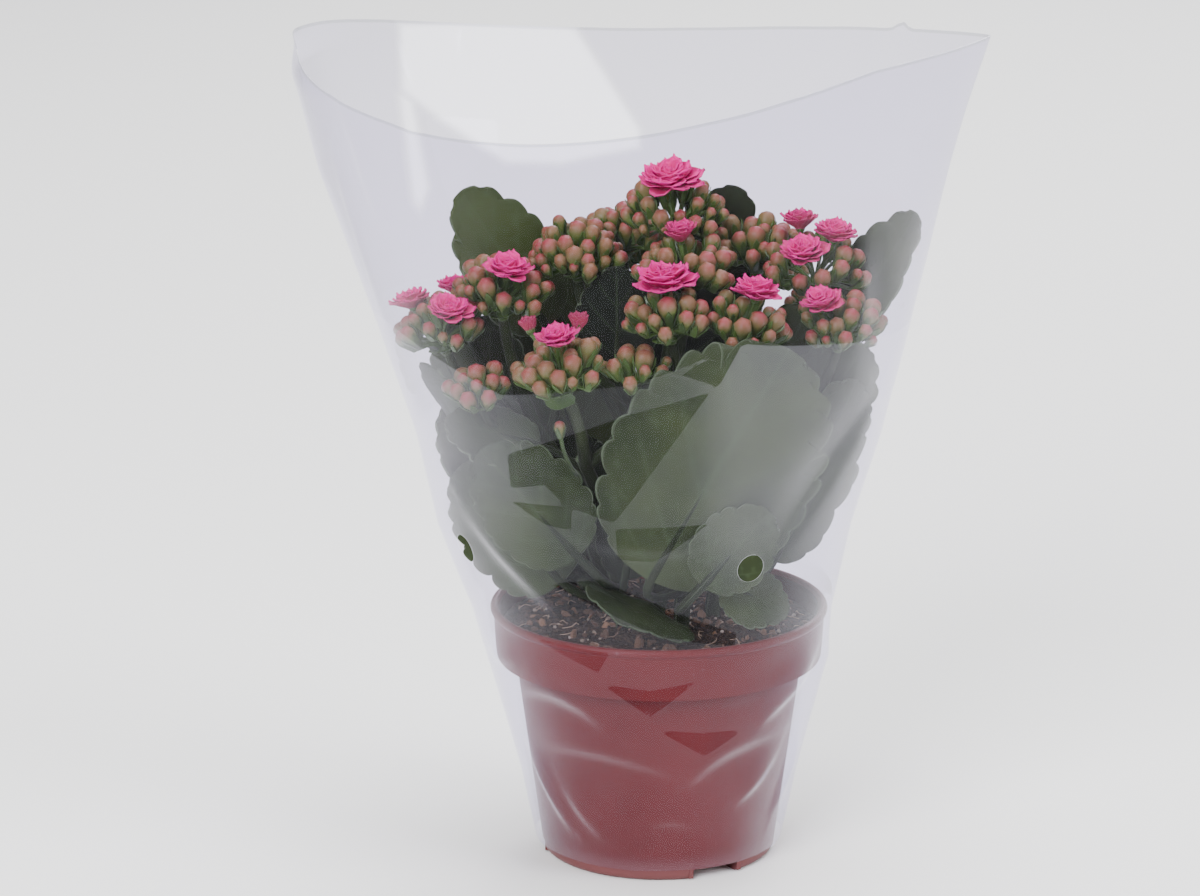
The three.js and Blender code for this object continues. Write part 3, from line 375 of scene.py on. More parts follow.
class Bunch:
    """Collects copies of shapes, each set in its place, into one mesh."""

    def __init__(self):
        self.points, self.faces, self.slots = [], [], []
        self.across, self.grow, self.shade = [], [], []

    def add(self, shape, matrix, shade, slot=0):
        first = len(self.points)
        self.points += [matrix @ point for point in shape.points]
        self.faces += [tuple(first + i for i in face) for face in shape.faces]
        self.slots += [slot + own for own in shape.slots]
        self.across += shape.across
        self.grow += shape.grow
        self.shade += [shade] * len(shape.points)

    def rod(self, path, radii, sides, shade, slot=0):
        """A round rod along a path in millimetres, closed at both ends."""
        path = [point * MM for point in path]
        first = len(self.points)
        heading = (path[1] - path[0]).normalized()
        side = heading.orthogonal().normalized()
        for i, point in enumerate(path):
            ahead = (path[min(i + 1, len(path) - 1)] - path[max(i - 1, 0)]).normalized()
            side = (side - ahead * side.dot(ahead)).normalized()
            other = ahead.cross(side)
            for k in range(sides):
                angle = 2 * math.pi * k / sides
                offset = side * math.cos(angle) + other * math.sin(angle)
                self.points.append(point + offset * radii[i] * MM)
                self.across.append(math.cos(angle))
                self.grow.append(i / (len(path) - 1))
                self.shade.append(shade)
        for i in range(len(path) - 1):
            low, high = first + i * sides, first + (i + 1) * sides
            for k in range(sides):
                n = (k + 1) % sides
                self.faces.append((low + k, low + n, high + n, high + k))
        last = first + (len(path) - 1) * sides
        self.faces.append(tuple(first + k for k in reversed(range(sides))))
        self.faces.append(tuple(last + k for k in range(sides)))
        self.slots += [slot] * ((len(path) - 1) * sides + 2)

    def piece(self, name):
        mesh = bpy.data.meshes.new(name)
        mesh.from_pydata(self.points, [], self.faces)
        mesh.polygons.foreach_set("material_index", self.slots)
        mark(mesh, "across", self.across)
        mark(mesh, "grow", self.grow)
        mark(mesh, "shade", self.shade)
        mesh.update()
        piece = bpy.data.objects.new(name, mesh)
        bpy.context.scene.collection.objects.link(piece)
        return piece


def finish_piece(piece, name, node, materials, smooth_angle=60):
    """Names a finished piece, smooths it, gives it its materials and ties it to the frame."""
    piece.name = name
    piece.data.name = name
    while len(piece.data.materials) < len(materials):
        piece.data.materials.append(None)
    for i, material in enumerate(materials):
        piece.data.materials[i] = material
    activate(piece)
    bpy.ops.object.shade_smooth_by_angle(angle=math.radians(smooth_angle))
    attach(piece, BODY)
    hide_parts(node)


# Leaves and stems
LeafFrame = namedtuple("LeafFrame", "base along face across length")

# Notches of a leaf's edge: depth as a share of its width, how fast they fade inwards, teeth to a lobe, and
# the lobes' share of the depth
SCALLOP_DEPTH = 0.13
NOTCH_REACH = 5
TEETH = 2
LOBE_SHARE = 0.45
# Side veins on each half of a blade, and how far they slant forwards
SIDE_VEINS = 6
VEIN_SLANT = 1.7
# How much thinner a blade is at its edge and its tip, and the least share of its thickness
EDGE_THINNING = 0.55
THINNEST = 0.3
# Grid of a blade: the width from which it is broad, columns of a narrow and a broad one, rows to a tooth
BROAD_LEAF = 35
NARROW_COLUMNS = 26
BROAD_COLUMNS = 36
TOOTH_ROWS = 8
# How much painted shade darkens petioles, stems and stalks, from the full painted shade of the inside at 0 to
# the open leaf's tone at 1
PETIOLE_SHADE = 0.3
STEM_SHADE = 0.5
STALK_SHADE = 0.6
# Rib under a blade: its start, its share of the blade's length, how deep it lies, and its steps
RIB_START = 3
RIB_SHARE = 0.62
RIB_DEPTH = 0.35
RIB_STEPS = 6
PETIOLE_STEPS = 8
STALK_STEPS = 10
STEM_STEPS = 14
# Distances from the pot's axis over which the painted shade on leaves fades, from the dark inside to the open
INSIDE_RADIUS = 26
OPEN_RADIUS = 52


def leaf_frame(leaf):
    base = Vector(leaf.base)
    along = Vector(leaf.tip) - base
    length = along.length
    along.normalize()
    face = Vector(leaf.face)
    face = (face - along * face.dot(along)).normalized()
    return LeafFrame(base, along, face, along.cross(face), length)


def leaf_edge(leaf, length, part, depth):
    """Half width and distance from the base at a part of the way from base to tip, notched to a depth."""
    round_form = math.sin(math.pi * part)
    lobes = max(4, leaf.lobes)
    lobe = LOBE_SHARE * abs(math.sin(math.pi * lobes * part)) ** 0.6
    lobe += (1 - LOBE_SHARE) * abs(math.sin(math.pi * TEETH * lobes * part)) ** 0.6
    scallop = 1 + depth * (lobe - 1) * min(1, part / 0.15)
    half = 0.5 * leaf.width * max(0, round_form) ** 0.85 * (1 + 0.1 * math.cos(math.pi * part)) * scallop
    rise = length * (0.5 - 0.5 * math.cos(math.pi * part)) * (scallop if part > 0.5 else 1)
    return half, rise


def blade_point(leaf, own, s, t):
    """The middle surface of a blade, s across and t along, in millimetres."""
    depth = leaf.cup * (2 * s / leaf.width) ** 2 + leaf.curl * (t / own.length) ** 2
    return own.base + own.across * s + own.along * t - own.face * depth


def stem_bend(stem):
    """The soil top, shoulder and end of a stem's curved part, in millimetres."""
    x, y = stem.foot
    soil_top = Vector((x, y, SOIL_LEVEL + 4))
    top = Vector(stem.top)
    shoulder = Vector((x, y, (SOIL_LEVEL + top.z) / 2)).lerp(top, 0.35)
    return soil_top, shoulder, top


def stem_point(stem, height):
    """The point of a stem's curved part nearest to a height."""
    return min(curve(*stem_bend(stem), 40), key=lambda point: abs(point.z - height))


def head_look(head):
    return Vector(head.look).normalized()


def leaf_lit_share(leaf):
    """How little painted shade a leaf takes: 0 for full painted shade near the pot's axis, and 1 at the
    outside.
    """
    middle = (Vector(leaf.base) + Vector(leaf.tip)) / 2
    return smooth_step(middle.xy.length, INSIDE_RADIUS, OPEN_RADIUS)


def leaf_blade(leaf, order, settings):
    """One leaf blade: a grid shaped to the leaf, with scalloped, lightly waved edges, then thickened."""
    own = leaf_frame(leaf)
    draw = draws_for("leaf", order)
    phase = 2 * math.pi * next(draw)
    waves = 2 + 2 * next(draw)
    rows = TOOTH_ROWS * TEETH * max(4, leaf.lobes)
    columns = NARROW_COLUMNS if leaf.width < BROAD_LEAF else BROAD_COLUMNS

    def shape(a, b):
        half, rise = leaf_edge(leaf, own.length, b, settings.scallop_depth * abs(a) ** NOTCH_REACH)
        turn = 2 * math.pi * waves * b + phase + 2.2 * math.copysign(1, a)
        wave = settings.edge_wave * a * a * math.sin(turn)
        quilt = settings.vein_relief * vein_form(a, b)
        lift = (wave - quilt) * math.sin(math.pi * b)
        return (blade_point(leaf, own, a * half, rise) + own.face * lift) * MM

    blade = sheet_grid(columns, rows, shape)
    close_points(blade)
    group = blade.vertex_groups.new(name="thick")
    for vertex, a, b in zip(blade.data.vertices, marks(blade.data, "across"), marks(blade.data, "grow")):
        group.add([vertex.index], 1 - EDGE_THINNING * max(abs(a), 2 * b - 1) ** 6, "REPLACE")
    apply_modifier(
        blade, "SOLIDIFY", thickness=settings.leaf_thickness * MM, offset=0, vertex_group="thick",
        thickness_vertex_group=THINNEST, use_even_offset=False,
    )
    # Painted shade: leaves near the pot's axis keep only this share of their own tone
    shade = leaf_lit_share(leaf) * (0.72 + 0.28 * next(draw))
    mark(blade.data, "shade", [shade] * len(blade.data.vertices))
    return blade


def vein_form(a, b):
    """How deep the upper face lies at the veins: 1 on a vein and 0 between them."""
    middle = math.exp(-((a / 0.06) ** 2))
    side = (b * SIDE_VEINS - VEIN_SLANT * abs(a)) % 1
    lateral = math.exp(-(((side - 0.5) / 0.1) ** 2)) * (1 - abs(a)) * 0.6
    return max(middle, lateral)


def blade_rib(bunch, leaf):
    """The petiole, which runs on as a rib under the blade."""
    own = leaf_frame(leaf)
    start = stem_point(STEMS[leaf.stem], leaf.start)
    end = own.base + own.along * RIB_START
    knee = own.base - own.along * 0.4 * (end - start).length
    path = curve(start, knee, end, PETIOLE_STEPS)
    radii = []
    for i in range(PETIOLE_STEPS + 1):
        foot = 1 - math.sin(math.pi * min(1, 2 * i / PETIOLE_STEPS) / 2)
        radii.append(PETIOLE_RADIUS * (1 + 0.25 * foot))
    for i in range(1, RIB_STEPS + 1):
        part = i / RIB_STEPS
        spot = blade_point(leaf, own, 0, RIB_START + RIB_SHARE * own.length * part)
        path.append(spot - own.face * RIB_DEPTH)
        radii.append(PETIOLE_RADIUS * (1 - 0.85 * part))
    bunch.rod(path, radii, 8, PETIOLE_SHADE)


def stalk_path(head):
    """The stalk from its stem to just under the hub, in millimetres."""
    stem = STEMS[head.stem]
    top = stem_point(stem, stem.top[2] - 3)
    end = Vector(head.hub) - head_look(head) * 1.5
    knee = end - head_look(head) * 0.5 * (end - top).length
    return curve(top, knee, end, STALK_STEPS)


def stem_rods(bunch, name):
    """A stem with its flower stalks, petioles and ribs."""
    stem = STEMS[name]
    x, y = stem.foot
    path = [Vector((x, y, SOIL_LEVEL - STEM_DEPTH + 1)), Vector((x, y, SOIL_LEVEL - 2))]
    path += curve(*stem_bend(stem), STEM_STEPS)
    radii = [STEM_RADIUS * (1.05 - 0.2 * i / len(path) + 0.08 * (i % 3 == 0)) for i in range(len(path))]
    bunch.rod(path, radii, 12, STEM_SHADE)
    for head in [head for head in HEADS.values() if head.stem == name]:
        thick = STALK_RADIUS * (1.15 if head.reach > 17 else 0.95)
        radii = [thick * (1.1 - 0.25 * i / STALK_STEPS) for i in range(STALK_STEPS + 1)]
        bunch.rod(stalk_path(head), radii, 9, STALK_SHADE)


# Buds and blooms
def bloom_axis(bloom):
    outward = (Vector(bloom.at) - Vector(HEADS[bloom.head].hub)).normalized()
    return outward.lerp(UP, 0.5).normalized()


def bloom_foot(bloom):
    return Vector(bloom.at) - bloom_axis(bloom) * 0.25 * bloom.size


Bud = namedtuple("Bud", "at direction radius shade")


def leaf_points():
    """Points all over every blade, for keeping buds clear of them."""
    rows = 16
    points = []
    for leaf in LEAVES:
        own = leaf_frame(leaf)
        for row in range(1, rows):
            half, rise = leaf_edge(leaf, own.length, row / rows, SCALLOP_DEPTH)
            points += [blade_point(leaf, own, half * part / 8, rise) for part in range(-8, 9)]
    return points


# How far the lowest buds of a head rise, as the upright share of their direction
LOWEST_BUD = 0.24
# Room of a bud: its gap to leaves, its spacing as a share of both radii, and its gap to blooms in widths
LEAF_CLEARANCE = 1.4
BUD_SPACING = 0.8
BLOOM_CLEARANCE = 0.33
# Heads whose buds are still green
YOUNG_HEADS = ("low_front_left", "low_front")


def bud_fits(at, radius, blades, placed):
    """Whether a bud has room between the leaves, the buds placed before it and the blooms."""
    if any((at - point).length < radius + LEAF_CLEARANCE for point in blades):
        return False
    if any((at - other.at).length < BUD_SPACING * (radius + other.radius) for other in placed):
        return False
    return all((at - Vector(bloom.at)).length >= radius + BLOOM_CLEARANCE * bloom.size for bloom in BLOOMS)


def settle_buds(settings):
    """Every bud's place: a spiral over each head's dome, kept where nothing else is in the way."""
    blades = leaf_points()
    placed = []
    buds = {name: [] for name in HEADS}
    for order, (name, head) in enumerate(HEADS.items()):
        draw = draws_for("buds", order)
        hub = Vector(head.hub)
        look = head_look(head)
        turn = turn_to(look)
        start = 2 * math.pi * next(draw)
        near = [point for point in blades if (point - hub).length < head.reach + 12]
        count = round(head.buds * settings.bud_density)
        for i in range(count):
            polar = math.radians(settings.head_spread) * math.sqrt((i + 0.3) / count)
            around = start + i * GOLDEN_ANGLE + 0.25 * (next(draw) - 0.5)
            edge = i / count
            radius = settings.bud_radius * (1.14 - 0.3 * edge - 0.42 * next(draw) ** 1.6)
            reach = head.reach * (0.84 + 0.2 * next(draw))
            shade = next(draw)
            if name in YOUNG_HEADS:
                shade = 0.7 + 0.3 * shade
            direction = turn @ Vector((
                math.sin(polar) * math.cos(around), math.sin(polar) * math.sin(around), math.cos(polar)))
            at = hub + direction * reach
            if direction.z >= LOWEST_BUD and bud_fits(at, radius, near, placed):
                bud = Bud(at, direction.lerp(look.lerp(UP, 0.4), 0.45).normalized(), radius, shade)
                placed.append(bud)
                buds[name].append(bud)
    return buds


# A bud in unit radius: radius and height from the foot of its tube to its tip
BUD_PROFILE = [
    (0.3, -2.2), (0.44, -1.9), (0.6, -1.3), (0.8, -0.75), (0.97, -0.25), (1.0, 0.2), (0.92, 0.62),
    (0.7, 0.95), (0.34, 1.16), (0.1, 1.2),
]
BUD_FOOT = BUD_PROFILE[0][1]
BUD_TIP = BUD_PROFILE[-1][1]
BUD_FOLDS = 5
SEPALS = 4
SEPAL_FOOT = -2.05
SEPAL_LENGTH = 2.5


def bud_girth(height):
    """Radius of a bud at a height, straight between the profile's points."""
    for (low_radius, low), (high_radius, high) in zip(BUD_PROFILE, BUD_PROFILE[1:]):
        if height <= high:
            return low_radius + (high_radius - low_radius) * (height - low) / (high - low)
    return 0


def bud_shape():
    """A swollen bud on its tube, in unit radius: petals folded round each other and four pointed sepals."""
    body = turned(BUD_PROFILE, 2 * BUD_FOLDS)
    across = []
    grow = []
    for vertex in body.data.vertices:
        x, y, z = vertex.co / MM
        fold = math.cos(BUD_FOLDS * (math.atan2(y, x) - 0.55 * max(0, z)))
        swell = 1 + 0.1 * fold * smooth_step(z, -0.4, 0.5)
        vertex.co = Vector((x * swell, y * swell, z + 0.06 * fold * smooth_step(z, 0.6, 1.1))) * MM
        across.append(fold)
        grow.append((vertex.co.z / MM - BUD_FOOT) / (BUD_TIP - BUD_FOOT))
    mark(body.data, "grow", grow)
    mark(body.data, "across", across)
    bunch = Bunch()
    bunch.add(as_shape(body), Matrix.Scale(1 / MM, 4), 0, 0)

    def sepal(a, b):
        z = SEPAL_FOOT + SEPAL_LENGTH * b
        out = bud_girth(z) + 0.06 + 0.1 * b * b
        half = 0.62 * (1 - b) ** 0.6 * (0.55 + 0.8 * b)
        return Vector((out - 0.35 * (a * half) ** 2, a * half, z))

    lobe = sheet_grid(2, 4, sepal)
    close_points(lobe, 1)
    apply_modifier(lobe, "SOLIDIFY", thickness=0.12, offset=1)
    lobe_shape = as_shape(lobe)
    for i in range(SEPALS):
        bunch.add(lobe_shape, Matrix.Rotation(2 * math.pi * (i + 0.5) / SEPALS, 4, "Z"), 0, 1)
    return as_shape(bunch.piece("bud_shape"))


def petal_shape(cup, lift, recurve, width):
    """A pointed petal of unit length, rooted at the origin and reaching along +Y."""

    def shape(a, b):
        half = width * min(1, 0.3 + 1.5 * b) * max(0, 1 - b ** 7) ** 0.8
        rise = lift * b * b - recurve * b ** 4 + cup * a * a * math.sin(math.pi * min(1, b + 0.15))
        ruffle = 0.03 * math.sin(7 * b + 2.6 * a) * b + 0.035 * math.sin(5 * a) * b ** 3
        point = 0.07 * math.exp(-((a / 0.3) ** 2)) * b ** 6
        return Vector((a * half, b + point, rise + ruffle))

    petal = sheet_grid(5, 7, shape)
    close_points(petal, 8)
    apply_modifier(petal, "SOLIDIFY", thickness=0.03, offset=0)
    return as_shape(petal)


# Layers of a bloom from the outside in: petals, shape, length and lean from level when open, height of root
PetalLayer = namedtuple("PetalLayer", "petals shape length lean root")


def petal_layers():
    outer = petal_shape(cup=0.16, lift=0.1, recurve=0.1, width=0.36)
    middle = petal_shape(cup=0.26, lift=0.14, recurve=0.1, width=0.38)
    inner = petal_shape(cup=0.34, lift=0.16, recurve=0.06, width=0.36)
    return [
        PetalLayer(9, outer, 0.52, 20, 0.0),
        PetalLayer(10, outer, 0.51, 34, 0.0),
        PetalLayer(9, middle, 0.48, 47, 0.0),
        PetalLayer(9, middle, 0.43, 60, 0.01),
        PetalLayer(7, inner, 0.38, 71, 0.02),
        PetalLayer(5, inner, 0.34, 83, 0.03),
    ]


# Radii of the tube that carries a bloom, from its pedicel up
BLOOM_TUBE = (0.9, 1.5, 1.7, 1.6, 1.9)
# Lean of petals in degrees: what closing adds at the outside, the most lean, and how widely draws spread it
CLOSED_LEAN = 72
MOST_LEAN = 88
LEAN_SPREAD = 18


def bloom_piece(bloom, order, layers, settings):
    """A double bloom on its tube: layers of pointed petals round its axis."""
    draw = draws_for("bloom", order)
    axis = bloom_axis(bloom)
    stand = Matrix.Translation(place(bloom.at)) @ turn_to(axis)
    bunch = Bunch()
    size = settings.bloom_scale * bloom.size * MM
    start = 2 * math.pi * next(draw)
    for number, layer in enumerate(layers):
        for i in range(layer.petals):
            around = start + 2 * math.pi * (i + 0.5 * number + 0.4 * (next(draw) - 0.5)) / layer.petals
            closed = (1 - bloom.open) * (CLOSED_LEAN - 0.6 * layer.lean)
            lean = math.radians(min(MOST_LEAN, layer.lean + closed + LEAN_SPREAD * (next(draw) - 0.5)))
            length = layer.length * size * (0.84 + 0.24 * next(draw)) * (0.78 + 0.22 * bloom.open)
            root = Vector((0, 0.05 * size, (layer.root - 0.16 - 0.06 * (1 - bloom.open)) * size))
            matrix = (
                stand
                @ Matrix.Rotation(around, 4, "Z")
                @ Matrix.Translation(root)
                @ Matrix.Rotation(lean, 4, "X")
                @ Matrix.Rotation(0.5 * (next(draw) - 0.5), 4, "Y")
                @ Matrix.Scale(length, 4)
            )
            tone = 0.5 + 0.5 * number / (len(layers) - 1)
            bunch.add(layer.shape, matrix, tone * (0.85 + 0.15 * next(draw)) * (0.35 + 0.65 * bloom.open))
    foot = bloom_foot(bloom)
    middle = Vector(bloom.at) - axis * 0.06 * size / MM
    bunch.rod([foot.lerp(middle, i / 4) for i in range(5)], BLOOM_TUBE, 8, 0.5, 1)
    return bunch.piece("bloom")


# Hub of a head: rise along the way it looks, and radius
HUB_PROFILE = [(-2, 1.6), (-0.8, 2.3), (0.8, 2.4), (2.2, 1.2)]
PEDICEL_RADII = [PEDICEL_RADIUS * share for share in (1.5, 1.1, 0.95, 0.9, 1)]
# Small bracts under a head: how many, the least length, how much longer by draw, their lean, their shade
SMALL_BRACTS = 3
BRACT_LENGTH = 6
BRACT_SPREAD = 5
BRACT_LEAN = 25
BRACT_SHADE = 0.5


def head_piece(name, head, buds, bud, bract):
    """A flower head: branching pedicels from the hub, each with its bud."""
    draw = draws_for("head", list(HEADS).index(name))
    bunch = Bunch()
    hub = Vector(head.hub)
    look = head_look(head)
    rises, radii = zip(*HUB_PROFILE)
    bunch.rod([hub + look * rise for rise in rises], radii, 9, 0.4, 1)
    tips = [own.at + own.direction * BUD_FOOT * own.radius for own in buds]
    tips += [bloom_foot(bloom) for bloom in BLOOMS if bloom.head == name]
    for tip in tips:
        knee = hub + look * 0.35 * (tip - hub).length + (tip - hub) * 0.2
        bunch.rod(curve(hub, knee, tip, 4), PEDICEL_RADII, 5, next(draw), 1)
    for lone in LONE_BUDS.get(name, []):
        start, at = Vector(lone.start), Vector(lone.at)
        direction = (at - start).normalized().lerp(UP, 0.6).normalized()
        foot = at + direction * BUD_FOOT * lone.radius
        knee = foot - direction * 0.5 * (foot - start).length
        bunch.rod(curve(start, knee, foot, 4), [PEDICEL_RADIUS] * 5, 5, next(draw), 1)
        buds = buds + [Bud(at, direction, lone.radius, lone.shade)]
    for own in buds:
        spin = Matrix.Rotation(2 * math.pi * next(draw), 4, "Z")
        stand = Matrix.Translation(own.at * MM) @ turn_to(own.direction)
        bunch.add(bud, stand @ spin @ Matrix.Scale(own.radius * MM, 4), own.shade)
    for i in range(SMALL_BRACTS):
        around = 2 * math.pi * (i / SMALL_BRACTS + 0.2 * next(draw))
        size = (BRACT_LENGTH + BRACT_SPREAD * next(draw)) * MM
        matrix = (
            Matrix.Translation((hub - look * 1.5) * MM)
            @ turn_to(look)
            @ Matrix.Rotation(around, 4, "Z")
            @ Matrix.Rotation(math.radians(BRACT_LEAN), 4, "X")
            @ Matrix.Scale(size, 4)
        )
        bunch.add(bract, matrix, BRACT_SHADE, 1)
    if name in ROUND_BRACTS:
        middle, length, face = ROUND_BRACTS[name]
        along = Vector((-1, 0, 0.1)).normalized()
        face = Vector(face).normalized()
        axes = Matrix((face.cross(along) * -1, along, face)).transposed().to_4x4()
        stand = Matrix.Translation((Vector(middle) - along * 0.5 * length) * MM)
        bunch.add(bract, stand @ axes @ Matrix.Scale(length * MM, 4), BRACT_SHADE, 1)
    return bunch.piece("head_" + name)


# Sleeve
def sleeve_reach(height, column):
    """Reach of the sleeve at a height, straight between the sections."""
    sections = SLEEVE_SECTIONS
    i = max(0, min(len(sections) - 2, sum(section[0] <= height for section in sections) - 1))
    low, high = sections[i], sections[i + 1]
    return low[column] + (high[column] - low[column]) * (height - low[0]) / (high[0] - low[0])


# Folds in the film: start, bend and end as [angle, height], width of the soft flank, height of the ridge
Fold = namedtuple("Fold", "start bend end width ridge")
FOLDS = [
    Fold((-152, 66), (-126, 84), (-106, 60), 9, 2.4), Fold((-140, 50), (-112, 58), (-78, 43), 8, 1.6),
    Fold((-147, 50), (-144, 32), (-130, 18), 6, 2.2), Fold((-131, 36), (-124, 26), (-113, 17), 7, 1.5),
    Fold((-79, 41), (-66, 58), (-40, 56), 9, 2.2), Fold((-54, 61), (-42, 70), (-26, 80), 7, 2.4),
    Fold((-58, 30), (-48, 36), (-40, 47), 7, 1.8), Fold((-160, 82), (-150, 76), (-138, 86), 6, 1.6),
    Fold((-30, 52), (-24, 38), (-32, 20), 6, 2), Fold((-97, 24), (-85, 30), (-70, 22), 8, 1.1),
    Fold((-147, 138), (-134, 124), (-120, 106), 11, 2.6), Fold((-56, 128), (-44, 146), (-26, 178), 13, -2.6),
    Fold((-139, 284), (-139, 268), (-141, 250), 4, 1.6), Fold((-161, 262), (-160, 235), (-163, 205), 5, 1.1),
    Fold((-142, 279), (-140, 262), (-139, 246), 3, 1.2), Fold((-155, 283), (-153, 262), (-151, 240), 4, 1),
    Fold((-118, 140), (-96, 128), (-70, 136), 12, 1.6), Fold((-40, 240), (-36, 220), (-38, 195), 9, 1.2),
    Fold((20, 70), (38, 60), (30, 28), 8, 2.2), Fold((48, 40), (66, 62), (88, 50), 9, 2.2),
    Fold((96, 66), (112, 52), (104, 24), 8, 2), Fold((128, 34), (140, 56), (158, 60), 9, 2.2),
    Fold((60, 130), (74, 150), (70, 190), 12, 2.2), Fold((116, 120), (108, 150), (120, 186), 12, -2),
    Fold((150, 110), (158, 130), (150, 160), 10, 1.8), Fold((84, 250), (92, 225), (86, 200), 10, 1.4),
]
FOLD_STEPS = 8


def fold_scale(height):
    """Millimetres round the film to a degree at a height."""
    return math.radians(53 + 0.17 * height)


def fold_path(fold):
    """A fold's middle line, as points in millimetres round the film and up it."""
    scale = fold_scale(fold.bend[1])
    points = []
    for i in range(FOLD_STEPS + 1):
        part = i / FOLD_STEPS
        near, far, both = (1 - part) ** 2, part ** 2, 2 * part * (1 - part)
        angle, height = (near * a + both * b + far * c for a, b, c in zip(fold.start, fold.bend, fold.end))
        points.append((angle * scale, height))
    return scale, points


FOLD_PATHS = [(fold, *fold_path(fold)) for fold in FOLDS]


def fold_depth(angle, height):
    """How far the film stands out or in at an angle in degrees and a height: each fold has a sharp flank."""
    total = 0
    for fold, scale, path in FOLD_PATHS:
        reach = 2.2 * fold.width
        x = angle * scale
        heights = (fold.start[1], fold.bend[1], fold.end[1])
        if not min(heights) - reach < height < max(heights) + reach:
            continue
        if not min(path[0][0], path[-1][0]) - 2 * reach < x < max(path[0][0], path[-1][0]) + 2 * reach:
            continue
        nearest, side, part = math.inf, 0, 0
        for i, ((x1, z1), (x2, z2)) in enumerate(zip(path, path[1:])):
            dx, dz = x2 - x1, z2 - z1
            along = min(1, max(0, ((x - x1) * dx + (height - z1) * dz) / (dx * dx + dz * dz)))
            away = math.hypot(x - x1 - along * dx, height - z1 - along * dz)
            if away < nearest:
                nearest, side, part = away, (x - x1) * dz - (height - z1) * dx, (i + along) / FOLD_STEPS
        width = fold.width * (0.4 if side > 0 else 1)
        fade = math.sin(math.pi * (0.12 + 0.76 * part)) ** 1.5
        total += fold.ridge * math.exp(-((nearest / width) ** 2)) * fade
    return total


def crease_depth(spot):
    """How steeply the folds stand at a spot on the film."""
    angle = math.degrees(math.atan2(spot.y, spot.x))
    here = fold_depth(angle, spot.z)
    return math.hypot(fold_depth(angle + 1, spot.z) - here, fold_depth(angle, spot.z + 1.3) - here)


def pot_outside(height):
    """Radius of the pot's outside at a height."""
    if height >= COLLAR_FOOT - 1:
        return RIM_RADIUS if height < POT_HEIGHT + 3 else 0
    return BASE_RADIUS + (NECK_RADIUS - BASE_RADIUS) * height / COLLAR_FOOT


# Parts of the front film left out of the painted reflection of the ground, so that what is behind stays
# clear: corners as [x, height]
CLEAR_WEDGES = [
    [(-44, 93), (-17, 91), (-21, 83)], [(-20, 79), (-3, 77), (-3, 67)], [(-3, 77), (13, 80), (-3, 67)],
    [(-1, 62), (15, 60), (16, 51)], [(15, 60), (30, 60), (16, 51)],
    [(-50, 164), (-12, 181), (20, 190), (-9, 150), (-15, 141), (-32, 146)], [(7, 196), (29, 208), (20, 191)],
    [(-15, 139), (17, 140), (25, 146), (14, 132), (3, 126), (-14, 127)],
    [(-52, 163), (-41, 162), (-36, 154), (-51, 150)], [(-51, 145), (-30, 146), (-30, 137), (-39, 138)],
    [(-38, 116), (-20, 119), (27, 97), (26, 92), (0, 98)],
]
# Parts of the back film that carry a painted reflection of a lamp: corners as [x, height]
GLARES = [
    [(-94, 287), (-31, 281), (-7, 243), (-7, 236), (-36, 231), (-60, 233), (-80, 251), (-93, 261)],
    [(-94, 262), (-89, 260), (-83, 228), (-86, 220), (-89, 224)],
]
# Upper edge of the painted reflection of the ground on the front film, as [x, height]
VEIL_TOP = [(-130, 206), (-95, 202), (-54, 185), (-7, 193), (27, 206), (83, 197), (130, 204)]


def inside_wedge(wedge, x, z):
    """Distance in millimetres inside a wedge's nearest side, less than 0 outside it."""
    middle_x = sum(corner[0] for corner in wedge) / len(wedge)
    middle_z = sum(corner[1] for corner in wedge) / len(wedge)
    nearest = math.inf
    for (x1, z1), (x2, z2) in zip(wedge, wedge[1:] + wedge[:1]):
        length = math.hypot(x2 - x1, z2 - z1)
        away = ((x - x1) * (z2 - z1) - (z - z1) * (x2 - x1)) / length
        middle_away = (middle_x - x1) * (z2 - z1) - (middle_z - z1) * (x2 - x1)
        nearest = min(nearest, math.copysign(away, away * middle_away))
    return nearest


def veil_depth(point):
    """Distance inside the film's painted reflection of the ground, less than 0 outside it."""
    x, y, z = point
    if y > 0:
        x = -x
    top = 0
    for (x1, z1), (x2, z2) in zip(VEIL_TOP, VEIL_TOP[1:]):
        if x1 <= x <= x2:
            top = z1 + (z2 - z1) * (x - x1) / (x2 - x1)
    clear = max(inside_wedge(wedge, x, z) for wedge in CLEAR_WEDGES)
    return max(-20, min(top - z, -clear, 60))


def glare_depth(point):
    """Distance inside the nearest painted lamp reflection, less than 0 outside it."""
    x, y, z = point
    return max(-20, max(inside_wedge(glare, x, z) for glare in GLARES)) if y > 0 else -20


def mouth_height(around):
    """The mouth rises to both ends of the oval, and its front edge tilts up towards the seam."""
    rise = (SLEEVE_SEAM_HEIGHT - SLEEVE_MID_HEIGHT) * math.cos(around) ** 2
    tilt = SLEEVE_FRONT_TILT * math.cos(around) * max(0, -math.sin(around))
    return min(SLEEVE_SEAM_HEIGHT, SLEEVE_MID_HEIGHT + rise + tilt)


